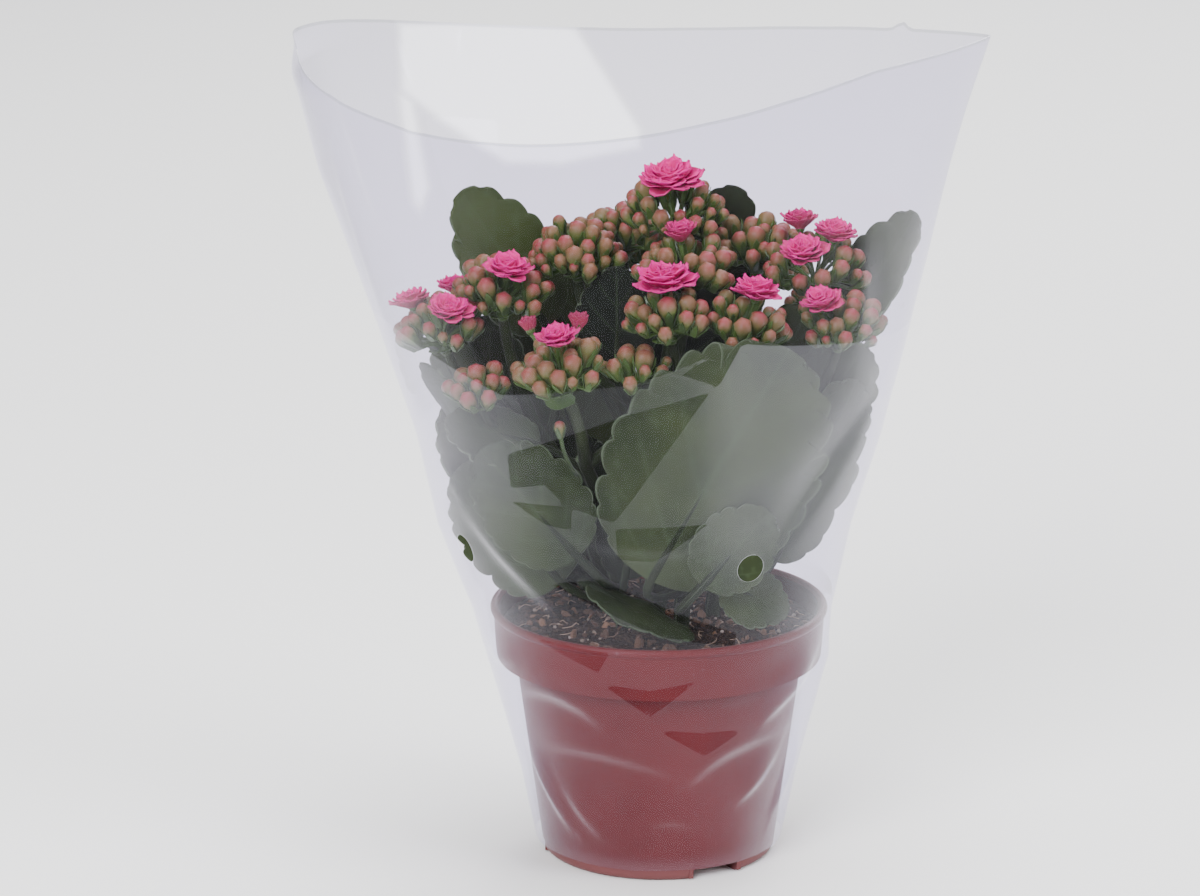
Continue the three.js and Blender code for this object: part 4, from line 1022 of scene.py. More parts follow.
def sleeve_point(around, height, settings):
    """A point on the film's outside, in millimetres."""
    left, right = sleeve_reach(height, 1), sleeve_reach(height, 2)
    pinch = SLEEVE_PINCH * smooth_step(height, SLEEVE_PINCH_FROM, SLEEVE_PINCH_TO)
    power = 1 + pinch * smooth_step(math.cos(around), 0, 1)
    side = math.sin(around)
    x = (right - left) / 2 + (right + left) / 2 * math.cos(around)
    roll = smooth_step(height, SLEEVE_ROLL_FROM, SLEEVE_SEAM_HEIGHT) * smooth_step(-math.cos(around), 0.6, 1)
    x += SLEEVE_ROLL * roll
    y = sleeve_reach(height, 3) * math.copysign(abs(side) ** power, side)
    flat = Vector((x, y, 0))
    outward = flat.normalized()
    ripple = RIPPLE * noise.noise(Vector((x, y, 0.6 * height)) / RIPPLE_LENGTH)
    ripple *= 1 + smooth_step(height, 230, 297)
    flat += outward * (settings.fold_height * fold_depth(math.degrees(math.atan2(y, x)), height) + ripple)
    least = pot_outside(height) + FILM_GAP
    if flat.length < least:
        flat = outward * least
    return Vector((flat.x, flat.y, height))


# Materials: glowing painted highlight on the film's lines, and how brightly the film's painted haze and its
# painted lamp reflection glow
LINE_PAINTED_HIGHLIGHT = 0.03
PAINTED_HAZE_GLOW = 2.5
PAINTED_GLARE_GLOW = 4.0


class Tree:
    """Puts nodes into a material's or a group's tree."""

    def __init__(self, tree):
        self.tree = tree

    def node(self, kind, inputs=None, **settings):
        """A node with its settings, and each input given as a number, a colour or a socket."""
        node = self.tree.nodes.new(kind)
        for key, value in settings.items():
            setattr(node, key, value)
        for key, value in (inputs or {}).items():
            socket = node.inputs[key]
            if isinstance(value, bpy.types.NodeSocket):
                self.tree.links.new(value, socket)
            else:
                socket.default_value = (*value, 1) if socket.type == "RGBA" else value
        return node

    def spot(self):
        """The place on the piece, in metres, as X, Y and Z."""
        where = self.node("ShaderNodeTexCoord").outputs["Object"]
        return self.node("ShaderNodeSeparateXYZ", {"Vector": where}).outputs

    def mark(self, name):
        return self.node("ShaderNodeAttribute", attribute_name=name).outputs["Fac"]

    def math(self, operation, a, b=0.0, clamp=False):
        node = self.node("ShaderNodeMath", {0: a, 1: b}, operation=operation, use_clamp=clamp)
        return node.outputs[0]

    def times(self, a, b):
        return self.math("MULTIPLY", a, b)

    def plus(self, a, b):
        """The sum, no more than 1."""
        return self.math("ADD", a, b, True)

    def step(self, value, low, high, to_low=0.0, to_high=1.0):
        inputs = {"Value": value, "From Min": low, "From Max": high, "To Min": to_low, "To Max": to_high}
        return self.node("ShaderNodeMapRange", inputs, interpolation_type="SMOOTHSTEP").outputs[0]

    def mix(self, factor, a, b):
        return self.node("ShaderNodeMix", {0: factor, 6: a, 7: b}, data_type="RGBA").outputs[2]

    def ramp(self, factor, stops):
        node = self.node("ShaderNodeValToRGB", {"Fac": factor})
        elements = node.color_ramp.elements
        while len(elements) < len(stops):
            elements.new(0.5)
        for element, (position, color) in zip(elements, stops):
            element.position = position
            element.color = (*color, 1)
        return node.outputs["Color"]

    def bump(self, height, strength, distance):
        inputs = {"Height": height, "Strength": strength, "Distance": distance}
        return self.node("ShaderNodeBump", inputs).outputs["Normal"]

    def group(self, tree, inputs):
        return self.node("ShaderNodeGroup", inputs, node_tree=tree).outputs


def new_material(name):
    material = bpy.data.materials.new(name)
    material.use_nodes = True
    material.node_tree.nodes.clear()
    return material, Tree(material.node_tree)


def mottled_material(name, coarse, fine):
    """A new material, its tree, and its uneven tone at two scales."""
    material, tree = new_material(name)
    return material, tree, tree.group(mottle_group(), {"Coarse": coarse, "Fine": fine})


def principled(tree, inputs):
    shader = tree.node("ShaderNodeBsdfPrincipled", inputs)
    tree.node("ShaderNodeOutputMaterial", {"Surface": shader.outputs["BSDF"]})


def new_group(name, inputs, outputs):
    """A node group with its number sockets, its tree, and what comes into it."""
    group = bpy.data.node_groups.new(name, "ShaderNodeTree")
    for socket, default in inputs.items():
        made = group.interface.new_socket(socket, in_out="INPUT", socket_type="NodeSocketFloat")
        made.default_value = default
    for socket in outputs:
        group.interface.new_socket(socket, in_out="OUTPUT", socket_type="NodeSocketFloat")
    tree = Tree(group)
    return group, tree, tree.node("NodeGroupInput").outputs


def mottle_group():
    """Uneven tone at two sizes, from a coarse and a fine noise on object coordinates."""
    name = "Mottle"
    if name in bpy.data.node_groups:
        return bpy.data.node_groups[name]
    group, tree, given = new_group(name, {"Coarse": 40.0, "Fine": 400.0}, ("Tone", "Grain"))
    where = tree.node("ShaderNodeTexCoord").outputs["Object"]
    coarse = tree.node("ShaderNodeTexNoise", {"Vector": where, "Scale": given["Coarse"], "Detail": 2.0})
    fine = tree.node("ShaderNodeTexNoise", {"Vector": where, "Scale": given["Fine"], "Detail": 1.0})
    tone = tree.step(coarse.outputs["Fac"], 0.3, 0.7)
    tree.node("NodeGroupOutput", {"Tone": tone, "Grain": fine.outputs["Fac"]})
    return group


def vein_group():
    """A leaf's veins and margin, from the marks that run across and along each blade."""
    name = "Veins"
    if name in bpy.data.node_groups:
        return bpy.data.node_groups[name]
    group, tree, given = new_group(name, {"Across": 0.0, "Along": 0.0}, ("Vein", "Margin"))
    side = tree.math("ABSOLUTE", given["Across"])
    middle = tree.step(side, 0.0, 0.05, 1.0, 0.0)
    slanted = tree.math("SUBTRACT", tree.times(given["Along"], SIDE_VEINS), tree.times(side, VEIN_SLANT))
    apart = tree.math("ABSOLUTE", tree.math("SUBTRACT", tree.math("FRACT", slanted), 0.5))
    lateral = tree.times(tree.step(apart, 0.0, 0.09, 0.6, 0.0), tree.step(side, 0.5, 1.0, 1.0, 0.0))
    vein = tree.math("MAXIMUM", middle, lateral)
    margin = tree.math("MAXIMUM", tree.step(side, 0.96, 1.0), tree.step(given["Along"], 0.985, 1.0))
    tree.node("NodeGroupOutput", {"Vein": vein, "Margin": margin})
    return group


def leaf_material(settings):
    """Blades with their stems and petioles, with painted shade that makes them darker inside the plant."""
    material, tree, tone = mottled_material("Leaf face", 30.0, 380.0)
    veins = tree.group(vein_group(), {"Across": tree.mark("across"), "Along": tree.mark("grow")})
    lit_share = tree.mark("shade")
    color = tree.mix(tone["Tone"], settings.leaf_dark, settings.leaf_light)
    # Painted shade: the dark inside green where the leaf lies deep in the plant
    color = tree.mix(lit_share, settings.leaf_painted_shade, color)
    color = tree.mix(tree.times(veins["Vein"], 0.28), color, settings.leaf_pale)
    # Pale margin, partly a painted highlight along the leaf's edge
    color = tree.mix(tree.times(veins["Margin"], 0.75), color, settings.leaf_rim_and_highlight)
    speck = tree.step(tone["Grain"], 0.5, 0.75, 0.0, 0.22)
    color = tree.mix(tree.times(speck, lit_share), color, settings.leaf_pale)
    rough = tree.step(tone["Grain"], 0.3, 0.7, 0.74, 0.86)
    rough = tree.math("SUBTRACT", rough, tree.times(lit_share, 0.32))
    height = tree.math("SUBTRACT", tree.times(tone["Grain"], 0.35), tree.times(veins["Vein"], 0.6))
    principled(tree, {
        "Base Color": color, "Roughness": rough, "Normal": tree.bump(height, 0.3, 0.0001),
        "Specular IOR Level": 0.18,
    })
    return material


def green_material(settings):
    """Pedicels, sepals, bracts and bloom tubes, with painted shade that makes them darker the deeper they
    stand among the leaves.
    """
    name = "Green stalk"
    if name in bpy.data.materials:
        return bpy.data.materials[name]
    material, tree, tone = mottled_material(name, 90.0, 1200.0)
    color = tree.mix(tone["Tone"], settings.stalk_dark, settings.stalk_light)
    color = tree.mix(tree.step(tree.mark("shade"), 0.0, 1.0, 0.0, 0.5), color, settings.calyx)
    # Painted shade: low pedicels take the dark inside green of the leaves
    color = tree.mix(tree.step(tree.spot()["Z"], 0.138, 0.182), settings.leaf_painted_shade, color)
    principled(tree, {
        "Base Color": color, "Roughness": tree.step(tone["Grain"], 0.3, 0.7, 0.35, 0.5),
        "Normal": tree.bump(tone["Grain"], 0.2, 0.0001), "Specular IOR Level": 0.35,
    })
    return material


def bud_material(settings):
    material, tree, tone = mottled_material("Bud", 120.0, 1500.0)
    color = tree.ramp(tree.mark("grow"), [
        (0.0, settings.calyx), (0.52, settings.calyx), (0.68, settings.bud_green),
        (0.82, settings.bud_tan), (0.93, settings.bud_salmon), (1.0, settings.bud_pink),
    ])
    color = tree.mix(tree.step(tree.mark("shade"), 0.55, 1.0, 0.0, 0.55), color, settings.bud_green)
    color = tree.mix(tree.times(tone["Tone"], 0.25), color, settings.bud_pink)
    seam = tree.step(tree.mark("across"), -1.0, -0.6, 0.35, 0.0)
    color = tree.mix(seam, color, settings.bud_green)
    principled(tree, {
        "Base Color": color, "Roughness": tree.step(tone["Grain"], 0.3, 0.7, 0.38, 0.52),
        "Normal": tree.bump(tree.mark("across"), 0.25, 0.0003), "Specular IOR Level": 0.3,
    })
    return material


def petal_material(settings):
    """Petals pale at root and edge, and salmon on blooms that have hardly opened."""
    material, tree, tone = mottled_material("Petal", 150.0, 1600.0)
    side = tree.math("ABSOLUTE", tree.mark("across"))
    color = tree.ramp(tree.mark("grow"), [
        (0.0, settings.petal_root), (0.25, settings.petal_deep), (0.7, settings.petal_main),
        (1.0, settings.petal_pale),
    ])
    color = tree.mix(tree.step(side, 0.7, 1.0, 0.0, 0.55), color, settings.petal_pale)
    color = tree.mix(tree.times(tone["Tone"], 0.22), color, settings.petal_deep)
    salmon = tree.step(tree.mark("shade"), 0.2, 0.6, 0.7, 0.0)
    color = tree.mix(salmon, color, settings.bud_salmon)
    streak = tree.math("SINE", tree.times(tree.mark("across"), 22.0))
    principled(tree, {
        "Base Color": color, "Roughness": 0.6, "Normal": tree.bump(streak, 0.12, 0.0002),
        "Specular IOR Level": 0.12,
    })
    return material


def pot_material(settings):
    material, tree, tone = mottled_material("Pot plastic", 18.0, 450.0)
    color = tree.mix(tone["Tone"], settings.pot_dark, settings.pot_light)
    dust = tree.step(tree.spot()["Z"], 0.003, 0.011, 0.7, 0.0)
    speck = tree.step(tone["Grain"], 0.74, 0.78, 0.0, 0.7)
    color = tree.mix(tree.math("MAXIMUM", dust, speck), color, settings.pot_dust)
    principled(tree, {
        "Base Color": color, "Roughness": tree.step(tone["Tone"], 0.3, 0.7, 0.32, 0.4),
        "Normal": tree.bump(tone["Tone"], 0.1, 0.0002), "Specular IOR Level": 0.14,
    })
    return material


def soil_material(settings):
    material, tree, tone = mottled_material("Soil", 90.0, 900.0)
    color = tree.ramp(tone["Grain"], [
        (0.3, settings.soil_dark), (0.55, settings.soil_brown), (0.72, settings.soil_light),
    ])
    color = tree.mix(tree.times(tone["Tone"], 0.5), color, settings.soil_dark)
    principled(tree, {
        "Base Color": color, "Roughness": 0.95, "Normal": tree.bump(tone["Grain"], 0.8, 0.0012),
        "Specular IOR Level": 0.2,
    })
    return material


def fleck_material(name, dark, light, rough):
    """Bits in the soil, each toned by its own shade."""
    material, tree, tone = mottled_material(name, 300.0, 1400.0)
    color = tree.mix(tree.mark("shade"), dark, light)
    color = tree.mix(tree.times(tone["Tone"], 0.35), color, dark)
    bump = tree.bump(tone["Grain"], 0.5, 0.0005)
    principled(tree, {"Base Color": color, "Roughness": rough, "Normal": bump})
    return material


def film_material(settings):
    """Clear film: it shines more at a slant, and its haze, painted as a glow of mirrored and scattered light,
    follows the marks on the sheet.
    """
    material, tree = new_material("Clear film")
    slant = tree.node("ShaderNodeLayerWeight", {"Blend": 0.5}).outputs["Facing"]
    shine = tree.times(tree.math("POWER", slant, 3.5), settings.film_edge_shine)
    shine = tree.plus(shine, settings.film_shine)

    # The veil, a painted reflection of the ground, is weakest in the middle and low down, and it fades out at
    # the seams
    spot = tree.spot()
    left = tree.step(spot["X"], -0.075, -0.025, 1.0, 0.0)
    right = tree.step(spot["X"], 0.0, 0.035)
    outer = tree.times(tree.math("MAXIMUM", right, left), tree.step(spot["Z"], 0.1, 0.14, 0.18, 1.0))
    depth = tree.mark("veil")
    veil = tree.times(tree.step(depth, -0.25, 0.25), tree.step(depth, 0.0, 45.0, 1.0, 0.75))
    veil = tree.times(veil, tree.step(outer, 0.0, 1.0, 0.25, 1.0))
    veil = tree.times(veil, tree.step(tree.math("ABSOLUTE", spot["Y"]), 0.004, 0.03))

    # Lines: the edge of the mouth, and the welds beside the right seam, which let less through and carry a
    # painted highlight
    # Painted highlight: the flanks of folds glow
    crease = tree.step(tree.mark("crease"), 0.1, 0.8)
    edge = tree.step(tree.mark("grow"), 0.9955, 0.997)
    weld = tree.math("ABSOLUTE", tree.math("SUBTRACT", tree.math("ABSOLUTE", tree.mark("across")), 0.02))
    line = tree.math("MAXIMUM", edge, tree.step(weld, 0.001, 0.002, 0.8, 0.0))
    # Painted glare: a lamp's reflection painted on the back film, where the film also lets more through
    glare = tree.step(tree.mark("glare"), -2.5, 3.0)

    # Painted light: the haze glows by emission in place of light that the film scatters and mirrors
    haze = tree.plus(tree.times(veil, settings.film_painted_ground_reflection), settings.film_painted_haze)
    for part, share in ((crease, settings.film_painted_crease_highlight), (line, LINE_PAINTED_HIGHLIGHT), (glare, settings.film_painted_lamp_reflection)):
        haze = tree.plus(haze, tree.times(part, share))
    seen = tree.plus(shine, haze)
    mirror = tree.math("DIVIDE", shine, tree.math("MAXIMUM", seen, 0.0001), True)
    tint = tree.mix(tree.times(glare, 0.7), settings.film_tint, (1, 1, 1))
    clear = tree.node("ShaderNodeBsdfTransparent", {"Color": tree.mix(line, tint, settings.film_line)})
    film = tree.node("ShaderNodeBsdfPrincipled", {
        "Base Color": tree.mix(mirror, (0.08, 0.08, 0.09), (0.95, 0.95, 0.97)),
        "Metallic": 1.0, "Roughness": settings.film_roughness,
        "Emission Color": tree.mix(mirror, settings.film_painted_glow_color, (0, 0, 0)),
        "Emission Strength": tree.step(glare, 0.0, 1.0, PAINTED_HAZE_GLOW, PAINTED_GLARE_GLOW),
    })
    both = tree.node("ShaderNodeMixShader", {0: seen, 1: clear.outputs[0], 2: film.outputs[0]})

    # Light passes through the film as if it had no haze, so the painted glow shows only to the camera
    plain = tree.node("ShaderNodeBsdfTransparent", {"Color": settings.film_tint})
    straight = tree.node("ShaderNodeLightPath").outputs["Is Camera Ray"]
    surface = tree.node("ShaderNodeMixShader", {0: straight, 1: plain.outputs[0], 2: both.outputs[0]})
    tree.node("ShaderNodeOutputMaterial", {"Surface": surface.outputs[0]})
    return material


def floor_material(settings):
    material, tree, tone = mottled_material("Pale floor", 2.0, 60.0)
    color = tree.mix(tree.times(tone["Tone"], 0.1), settings.floor, (0.9, 0.9, 0.9))
    principled(tree, {"Base Color": color, "Roughness": 0.8, "Specular IOR Level": 0.1})
    return material


# Settings
def color_setting(name, description, default):
    return bpy.props.FloatVectorProperty(
        name=name, description=description, default=default, size=3, min=0, max=1, subtype="COLOR")


def size_setting(name, description, default, low, high):
    return bpy.props.FloatProperty(name=name, description=description, default=default, min=low, max=high)


def power_setting(name, description, default):
    return bpy.props.FloatProperty(name=name, description=description, default=default, min=0, unit="POWER")


class KalanchoePlantSettings(bpy.types.PropertyGroup):
    scallop_depth: size_setting("Scallop depth", "Depth of a leaf's notches in widths", SCALLOP_DEPTH, 0, 0.3)
    edge_wave: size_setting("Edge wave", "How far the leaf edges wave, in millimetres", 0.9, 0, 4)
    vein_relief: size_setting("Vein relief", "How deep the veins lie, in millimetres", 0.18, 0, 2)
    leaf_thickness: size_setting("Leaf thickness", "Thickness of a blade, in millimetres", 1.3, 0.6, 3)
    bud_radius: size_setting("Bud radius", "Radius of a bud, in millimetres", 3.1, 2, 5)
    bud_density: size_setting("Bud density", "Share of the places for buds that are tried", 1.4, 0.3, 2)
    bloom_scale: size_setting("Bloom scale", "Width of the blooms beside their given size", 1.08, 0.8, 1.3)
    head_spread: size_setting("Head spread", "Half angle that the buds cover, in degrees", 68, 40, 110)
    # Painted shade: the green of leaves and stalks deep inside the plant
    leaf_painted_shade: color_setting("Leaf inner", "Green of leaves in the shade", (0.005, 0.008, 0.003))
    leaf_dark: color_setting("Leaf dark", "Darkest green of a leaf", (0.014, 0.023, 0.005))
    leaf_light: color_setting("Leaf light", "Lightest green of a leaf", (0.03, 0.045, 0.009))
    leaf_pale: color_setting("Leaf pale", "Green of veins and specks", (0.06, 0.092, 0.042))
    # Pale leaf margin, partly a painted highlight along the edges
    leaf_rim_and_highlight: color_setting("Leaf rim", "Thin pale margin of a leaf", (0.085, 0.115, 0.062))
    stalk_dark: color_setting("Stalk dark", "Dark green of pedicels", (0.022, 0.05, 0.009))
    stalk_light: color_setting("Stalk light", "Light green of pedicels", (0.055, 0.105, 0.02))
    calyx: color_setting("Calyx", "Yellow green of sepals and bud tubes", (0.085, 0.155, 0.026))
    bud_green: color_setting("Bud green", "Green of the youngest buds", (0.115, 0.13, 0.033))
    bud_tan: color_setting("Bud tan", "Tan of the middle of a bud", (0.17, 0.1, 0.042))
    bud_salmon: color_setting("Bud salmon", "Salmon of the top of a bud", (0.2, 0.06, 0.035))
    bud_pink: color_setting("Bud pink", "Pink of a bud's tip", (0.235, 0.028, 0.036))
    petal_root: color_setting("Petal root", "Pale root of a petal", (0.8, 0.1, 0.32))
    petal_deep: color_setting("Petal deep", "Deepest pink of a petal", (0.42, 0.0, 0.09))
    petal_main: color_setting("Petal main", "Main pink of a petal", (0.6, 0.0, 0.15))
    petal_pale: color_setting("Petal pale", "Pale pink of a petal's edge", (0.74, 0.012, 0.26))


class KalanchoePotSettings(bpy.types.PropertyGroup):
    pot_dark: color_setting("Pot dark", "Darker tone of the pot", (0.092, 0.009, 0.008))
    pot_light: color_setting("Pot light", "Lighter tone of the pot", (0.112, 0.013, 0.0115))
    pot_dust: color_setting("Pot dust", "Dust near the foot", (0.15, 0.062, 0.064))
    soil_dark: color_setting("Soil dark", "Darkest tone of the soil", (0.012, 0.008, 0.006))
    soil_brown: color_setting("Soil brown", "Main tone of the soil", (0.045, 0.026, 0.016))
    soil_light: color_setting("Soil light", "Lightest tone of the soil", (0.12, 0.075, 0.045))


class KalanchoeSleeveSettings(bpy.types.PropertyGroup):
    fold_height: size_setting("Fold height", "How strong the folds in the film are", 1.0, 0, 3)
    film_thickness: size_setting("Film thickness", "Thickness of the film, in millimetres", 0.25, 0.05, 1)
    film_tint: color_setting("Film tint", "What one face of the film lets through", (0.918, 0.907, 0.966))
    film_line: color_setting("Film line", "What the film's edges and welds let through", (0.8, 0.8, 0.835))
    # Painted light of the film: the colour and share of its glowing haze
    film_painted_glow_color: color_setting("Film milk", "Light of the surroundings in the film's haze", (0.88, 0.88, 0.96))
    film_painted_haze: size_setting("Film haze", "Haze all over each face of the film", 0.0004, 0, 0.5)
    # Painted reflection of the ground on the film
    film_painted_ground_reflection: size_setting("Film veil", "Haze added where the film mirrors the ground", 0.031, 0, 1)
    # Painted highlight on the flanks of folds
    film_painted_crease_highlight: size_setting("Film crease", "Haze added on the flanks of folds", 0.013, 0, 1)
    # Painted reflection of a lamp on the back film
    film_painted_lamp_reflection: size_setting("Film glare", "Haze added where the back film mirrors a lamp", 0.3, 0, 1)
    film_shine: size_setting("Film shine", "Share that each face mirrors straight on", 0.003, 0, 0.5)
    film_edge_shine: size_setting("Film edge shine", "Share added at a slant", 0.5, 0, 1)
    film_roughness: size_setting("Film roughness", "Roughness of the film's gloss", 0.05, 0, 0.5)


class KalanchoeStageSettings(bpy.types.PropertyGroup):
    floor: color_setting("Floor", "Colour of the floor", (0.95, 0.95, 0.955))
    world_strength: size_setting("World strength", "Light from all round", 0.4, 0, 5)
    key_power: power_setting("Key power", "Power of the main softbox", 118)
    fill_power: power_setting("Fill power", "Power of the fill softbox", 34)
    top_power: power_setting("Top power", "Power of the top softbox", 62)
    back_power: power_setting("Back power", "Power of the back softbox", 26)


# Pot
def pot_profile():
    """The pot from the middle of its foot, up the outside, over the rim and down the inside."""
    ledge = POT_HEIGHT - LIP_HEIGHT
    profile = [(2, 0), (BASE_RADIUS - 4.5, 0)]
    profile += arc(BASE_RADIUS - FOOT_ROUND, FOOT_ROUND, FOOT_ROUND, -90, 0, 6)
    steps = 14
    for i in range(1, steps):
        part = i / steps
        radius = BASE_RADIUS + (NECK_RADIUS - BASE_RADIUS) * part
        profile.append((radius, FOOT_ROUND + (COLLAR_FOOT - FOOT_ROUND - 0.8) * part))
    profile += [
        (NECK_RADIUS + 0.2, COLLAR_FOOT - 0.6), (NECK_RADIUS + 0.9, COLLAR_FOOT - 0.1),
        (COLLAR_FOOT_RADIUS - 0.9, COLLAR_FOOT - 0.1), (COLLAR_FOOT_RADIUS - 0.25, COLLAR_FOOT + 0.1),
        (COLLAR_FOOT_RADIUS, COLLAR_FOOT + 0.8), (COLLAR_FOOT_RADIUS + 0.4, COLLAR_FOOT + 5),
        (COLLAR_TOP_RADIUS - 0.3, ledge - 2.4), (COLLAR_TOP_RADIUS - 0.1, ledge - 0.3),
        (COLLAR_TOP_RADIUS + 0.35, ledge),
    ]
    profile += arc(RIM_RADIUS - LIP_ROUND, POT_HEIGHT - LIP_ROUND, LIP_ROUND, -36, 118.65, 8)
    profile += [
        (RIM_RADIUS - 3.2, POT_HEIGHT - 1.4), (COLLAR_TOP_RADIUS - POT_WALL - 0.9, ledge - 1),
        (COLLAR_FOOT_RADIUS - POT_WALL, COLLAR_FOOT + 1.4), (NECK_RADIUS - POT_WALL, COLLAR_FOOT + 1.2),
        (NECK_RADIUS - POT_WALL - 0.4, COLLAR_FOOT - 1), (BASE_RADIUS - POT_WALL, 3),
        (BASE_RADIUS - POT_WALL - 1.5, 1.5), (2, 1.5),
    ]
    return profile


def block(width, length, low, high, start, angle):
    """A box that lies from start outwards along +Y, turned to an angle."""
    deselect()
    bpy.ops.mesh.primitive_cube_add(size=1)
    piece = bpy.context.object
    piece.data.transform(Matrix.Diagonal((width * MM, length * MM, (high - low) * MM, 1)))
    piece.data.transform(Matrix.Translation((0, (start + length / 2) * MM, (low + high) / 2 * MM)))
    piece.data.transform(Matrix.Rotation(math.radians(angle), 4, "Z"))
    return piece


def cut(piece, tool, operation, solver="EXACT"):
    """Joins a tool to a piece or takes it out of the piece, and removes the tool."""
    apply_modifier(piece, "BOOLEAN", operation=operation, object=tool, solver=solver)
    bpy.data.objects.remove(tool)


class KALANCHOE_OT_pot(bpy.types.Operator):
    """Model the round nursery pot with its rolled lip, stepped collar and drain channels"""
    bl_idname = "kalanchoe.pot"
    bl_label = "Pot"

    def execute(self, context):
        settings = context.scene.kalanchoe_pot
        pot = turned(pot_profile(), POT_SIDES)
        width = CHANNEL_WIDTH + 2 * CHANNEL_WALL
        start = CHANNEL_START - CHANNEL_WALL
        top = CHANNEL_HEIGHT + CHANNEL_WALL
        for angle in CHANNEL_ANGLES:
            cut(pot, block(width, BASE_RADIUS - 1 - start, 0.7, top, start, angle), "UNION")
            channel = block(CHANNEL_WIDTH, 2 * BASE_RADIUS, -1, CHANNEL_HEIGHT, CHANNEL_START, angle)
            cut(pot, channel, "DIFFERENCE")
        finish_piece(pot, "pot_body", "pot", [pot_material(settings)], 32)
        return {"FINISHED"}


# Soil bed and what is strewn over it
def soil_level(part_in):
    """Height of the smooth bed, at a part of the way from its edge to its middle."""
    return SOIL_LEVEL - 1 + SOIL_DOME * smooth_step(part_in, 0, 0.35)


def soil_lump(spot):
    """How far the bed's lumps raise a spot."""
    return SOIL_LUMP * noise.fractal(spot / SOIL_LUMP_LENGTH, 0.8, 2.1, 4)


def soil_top(x, y):
    """Height of the soil at a place, as its bed is shaped."""
    level = soil_level(1 - math.hypot(x, y) / SOIL_RADIUS)
    return level + soil_lump(Vector((x, y, level)))


def soil_bed():
    """The bed in the pot: it widens above the neck, and its top is lumpy."""
    low_radius = NECK_RADIUS - POT_WALL - 0.8
    shelf = COLLAR_FOOT + 2.6
    profile = [
        (2, 6), (BASE_RADIUS - 3, 6), (low_radius, COLLAR_FOOT), (low_radius, shelf),
        (SOIL_RADIUS - 0.4, shelf), (SOIL_RADIUS, SOIL_LEVEL - 1),
    ]
    for i in range(1, SOIL_RINGS):
        part = i / SOIL_RINGS
        profile.append((SOIL_RADIUS * (1 - part) + 0.5, soil_level(part)))
    soil = turned(profile, SOIL_SIDES)
    for vertex in soil.data.vertices:
        if vertex.co.z > (SOIL_LEVEL - 1.5) * MM:
            vertex.co.z += soil_lump(vertex.co / MM) * MM
    return soil


def lump_shape():
    deselect()
    bpy.ops.mesh.primitive_ico_sphere_add(subdivisions=1, radius=1)
    piece = bpy.context.object
    for vertex in piece.data.vertices:
        vertex.co *= 1 + 0.35 * noise.noise(vertex.co * 1.7)
    for name in ("across", "grow"):
        mark(piece.data, name, [0.0] * len(piece.data.vertices))
    return as_shape(piece)


# Bits in the soil: how many, their size, flatness and stretch, and which of the looks they have
Bit = namedtuple("Bit", "count size flat stretch slot")
BITS = [Bit(620, 0.8, 1.0, 0.7, 0), Bit(190, 1.3, 0.55, 1.5, 1), Bit(90, 0.7, 0.8, 0.9, 2)]
FIBRES = 90
FIBRE_RADIUS = 0.14


def strewn(draw, reach):
    """A drawn place within reach of the pot's axis."""
    radius = reach * math.sqrt(next(draw))
    around = 2 * math.pi * next(draw)
    return radius * math.cos(around), radius * math.sin(around)


def soil_flecks():
    """Crumbs, bark, perlite and fibres strewn over the soil."""
    lump = lump_shape()
    draw = draws_for("soil")
    bunch = Bunch()
    for bit in BITS:
        for _ in range(bit.count):
            x, y = strewn(draw, SOIL_RADIUS - 1.5)
            size = bit.size * (0.6 + 0.9 * next(draw))
            w, i, j = (next(draw) - 0.5 for _ in range(3))
            turn = Quaternion((w, i, j, next(draw))).normalized()
            matrix = (
                Matrix.Translation(place((x, y, soil_top(x, y) + 0.2 * size)))
                @ turn.to_matrix().to_4x4()
                @ Matrix.Diagonal((size * bit.stretch * MM, size * MM, size * bit.flat * MM, 1))
            )
            bunch.add(lump, matrix, next(draw), bit.slot)
    for _ in range(FIBRES):
        x, y = strewn(draw, SOIL_RADIUS - 4)
        heading = 2 * math.pi * next(draw)
        length = 3 + 7 * next(draw)
        path = []
        for i in range(5):
            part = i / 4 - 0.5
            px = x + length * part * math.cos(heading + part)
            py = y + length * part * math.sin(heading + part)
            lift = 0.4 + 4.4 * (0.25 - part * part) * next(draw)
            path.append(Vector((px, py, soil_top(px, py) + lift)))
        bunch.rod(path, [FIBRE_RADIUS] * 5, 4, next(draw), 3)
    return bunch.piece("soil_flecks")


class KALANCHOE_OT_soil(bpy.types.Operator):
    """Model the crumbly soil with its bark, perlite and fibres"""
    bl_idname = "kalanchoe.soil"
    bl_label = "Soil"

    def execute(self, context):
        settings = context.scene.kalanchoe_pot
        finish_piece(soil_bed(), "soil_bed", "soil", [soil_material(settings)], 50)
        looks = [
            fleck_material("Soil crumb", settings.soil_dark, settings.soil_brown, 0.95),
            fleck_material("Bark", (0.06, 0.03, 0.015), (0.22, 0.12, 0.06), 0.8),
            fleck_material("Perlite", (0.2, 0.15, 0.1), (0.45, 0.38, 0.3), 0.7),
            fleck_material("Fibre", (0.2, 0.12, 0.07), (0.5, 0.36, 0.24), 0.8),
        ]
        finish_piece(soil_flecks(), "soil_flecks", "soil", looks, 30)
        return {"FINISHED"}


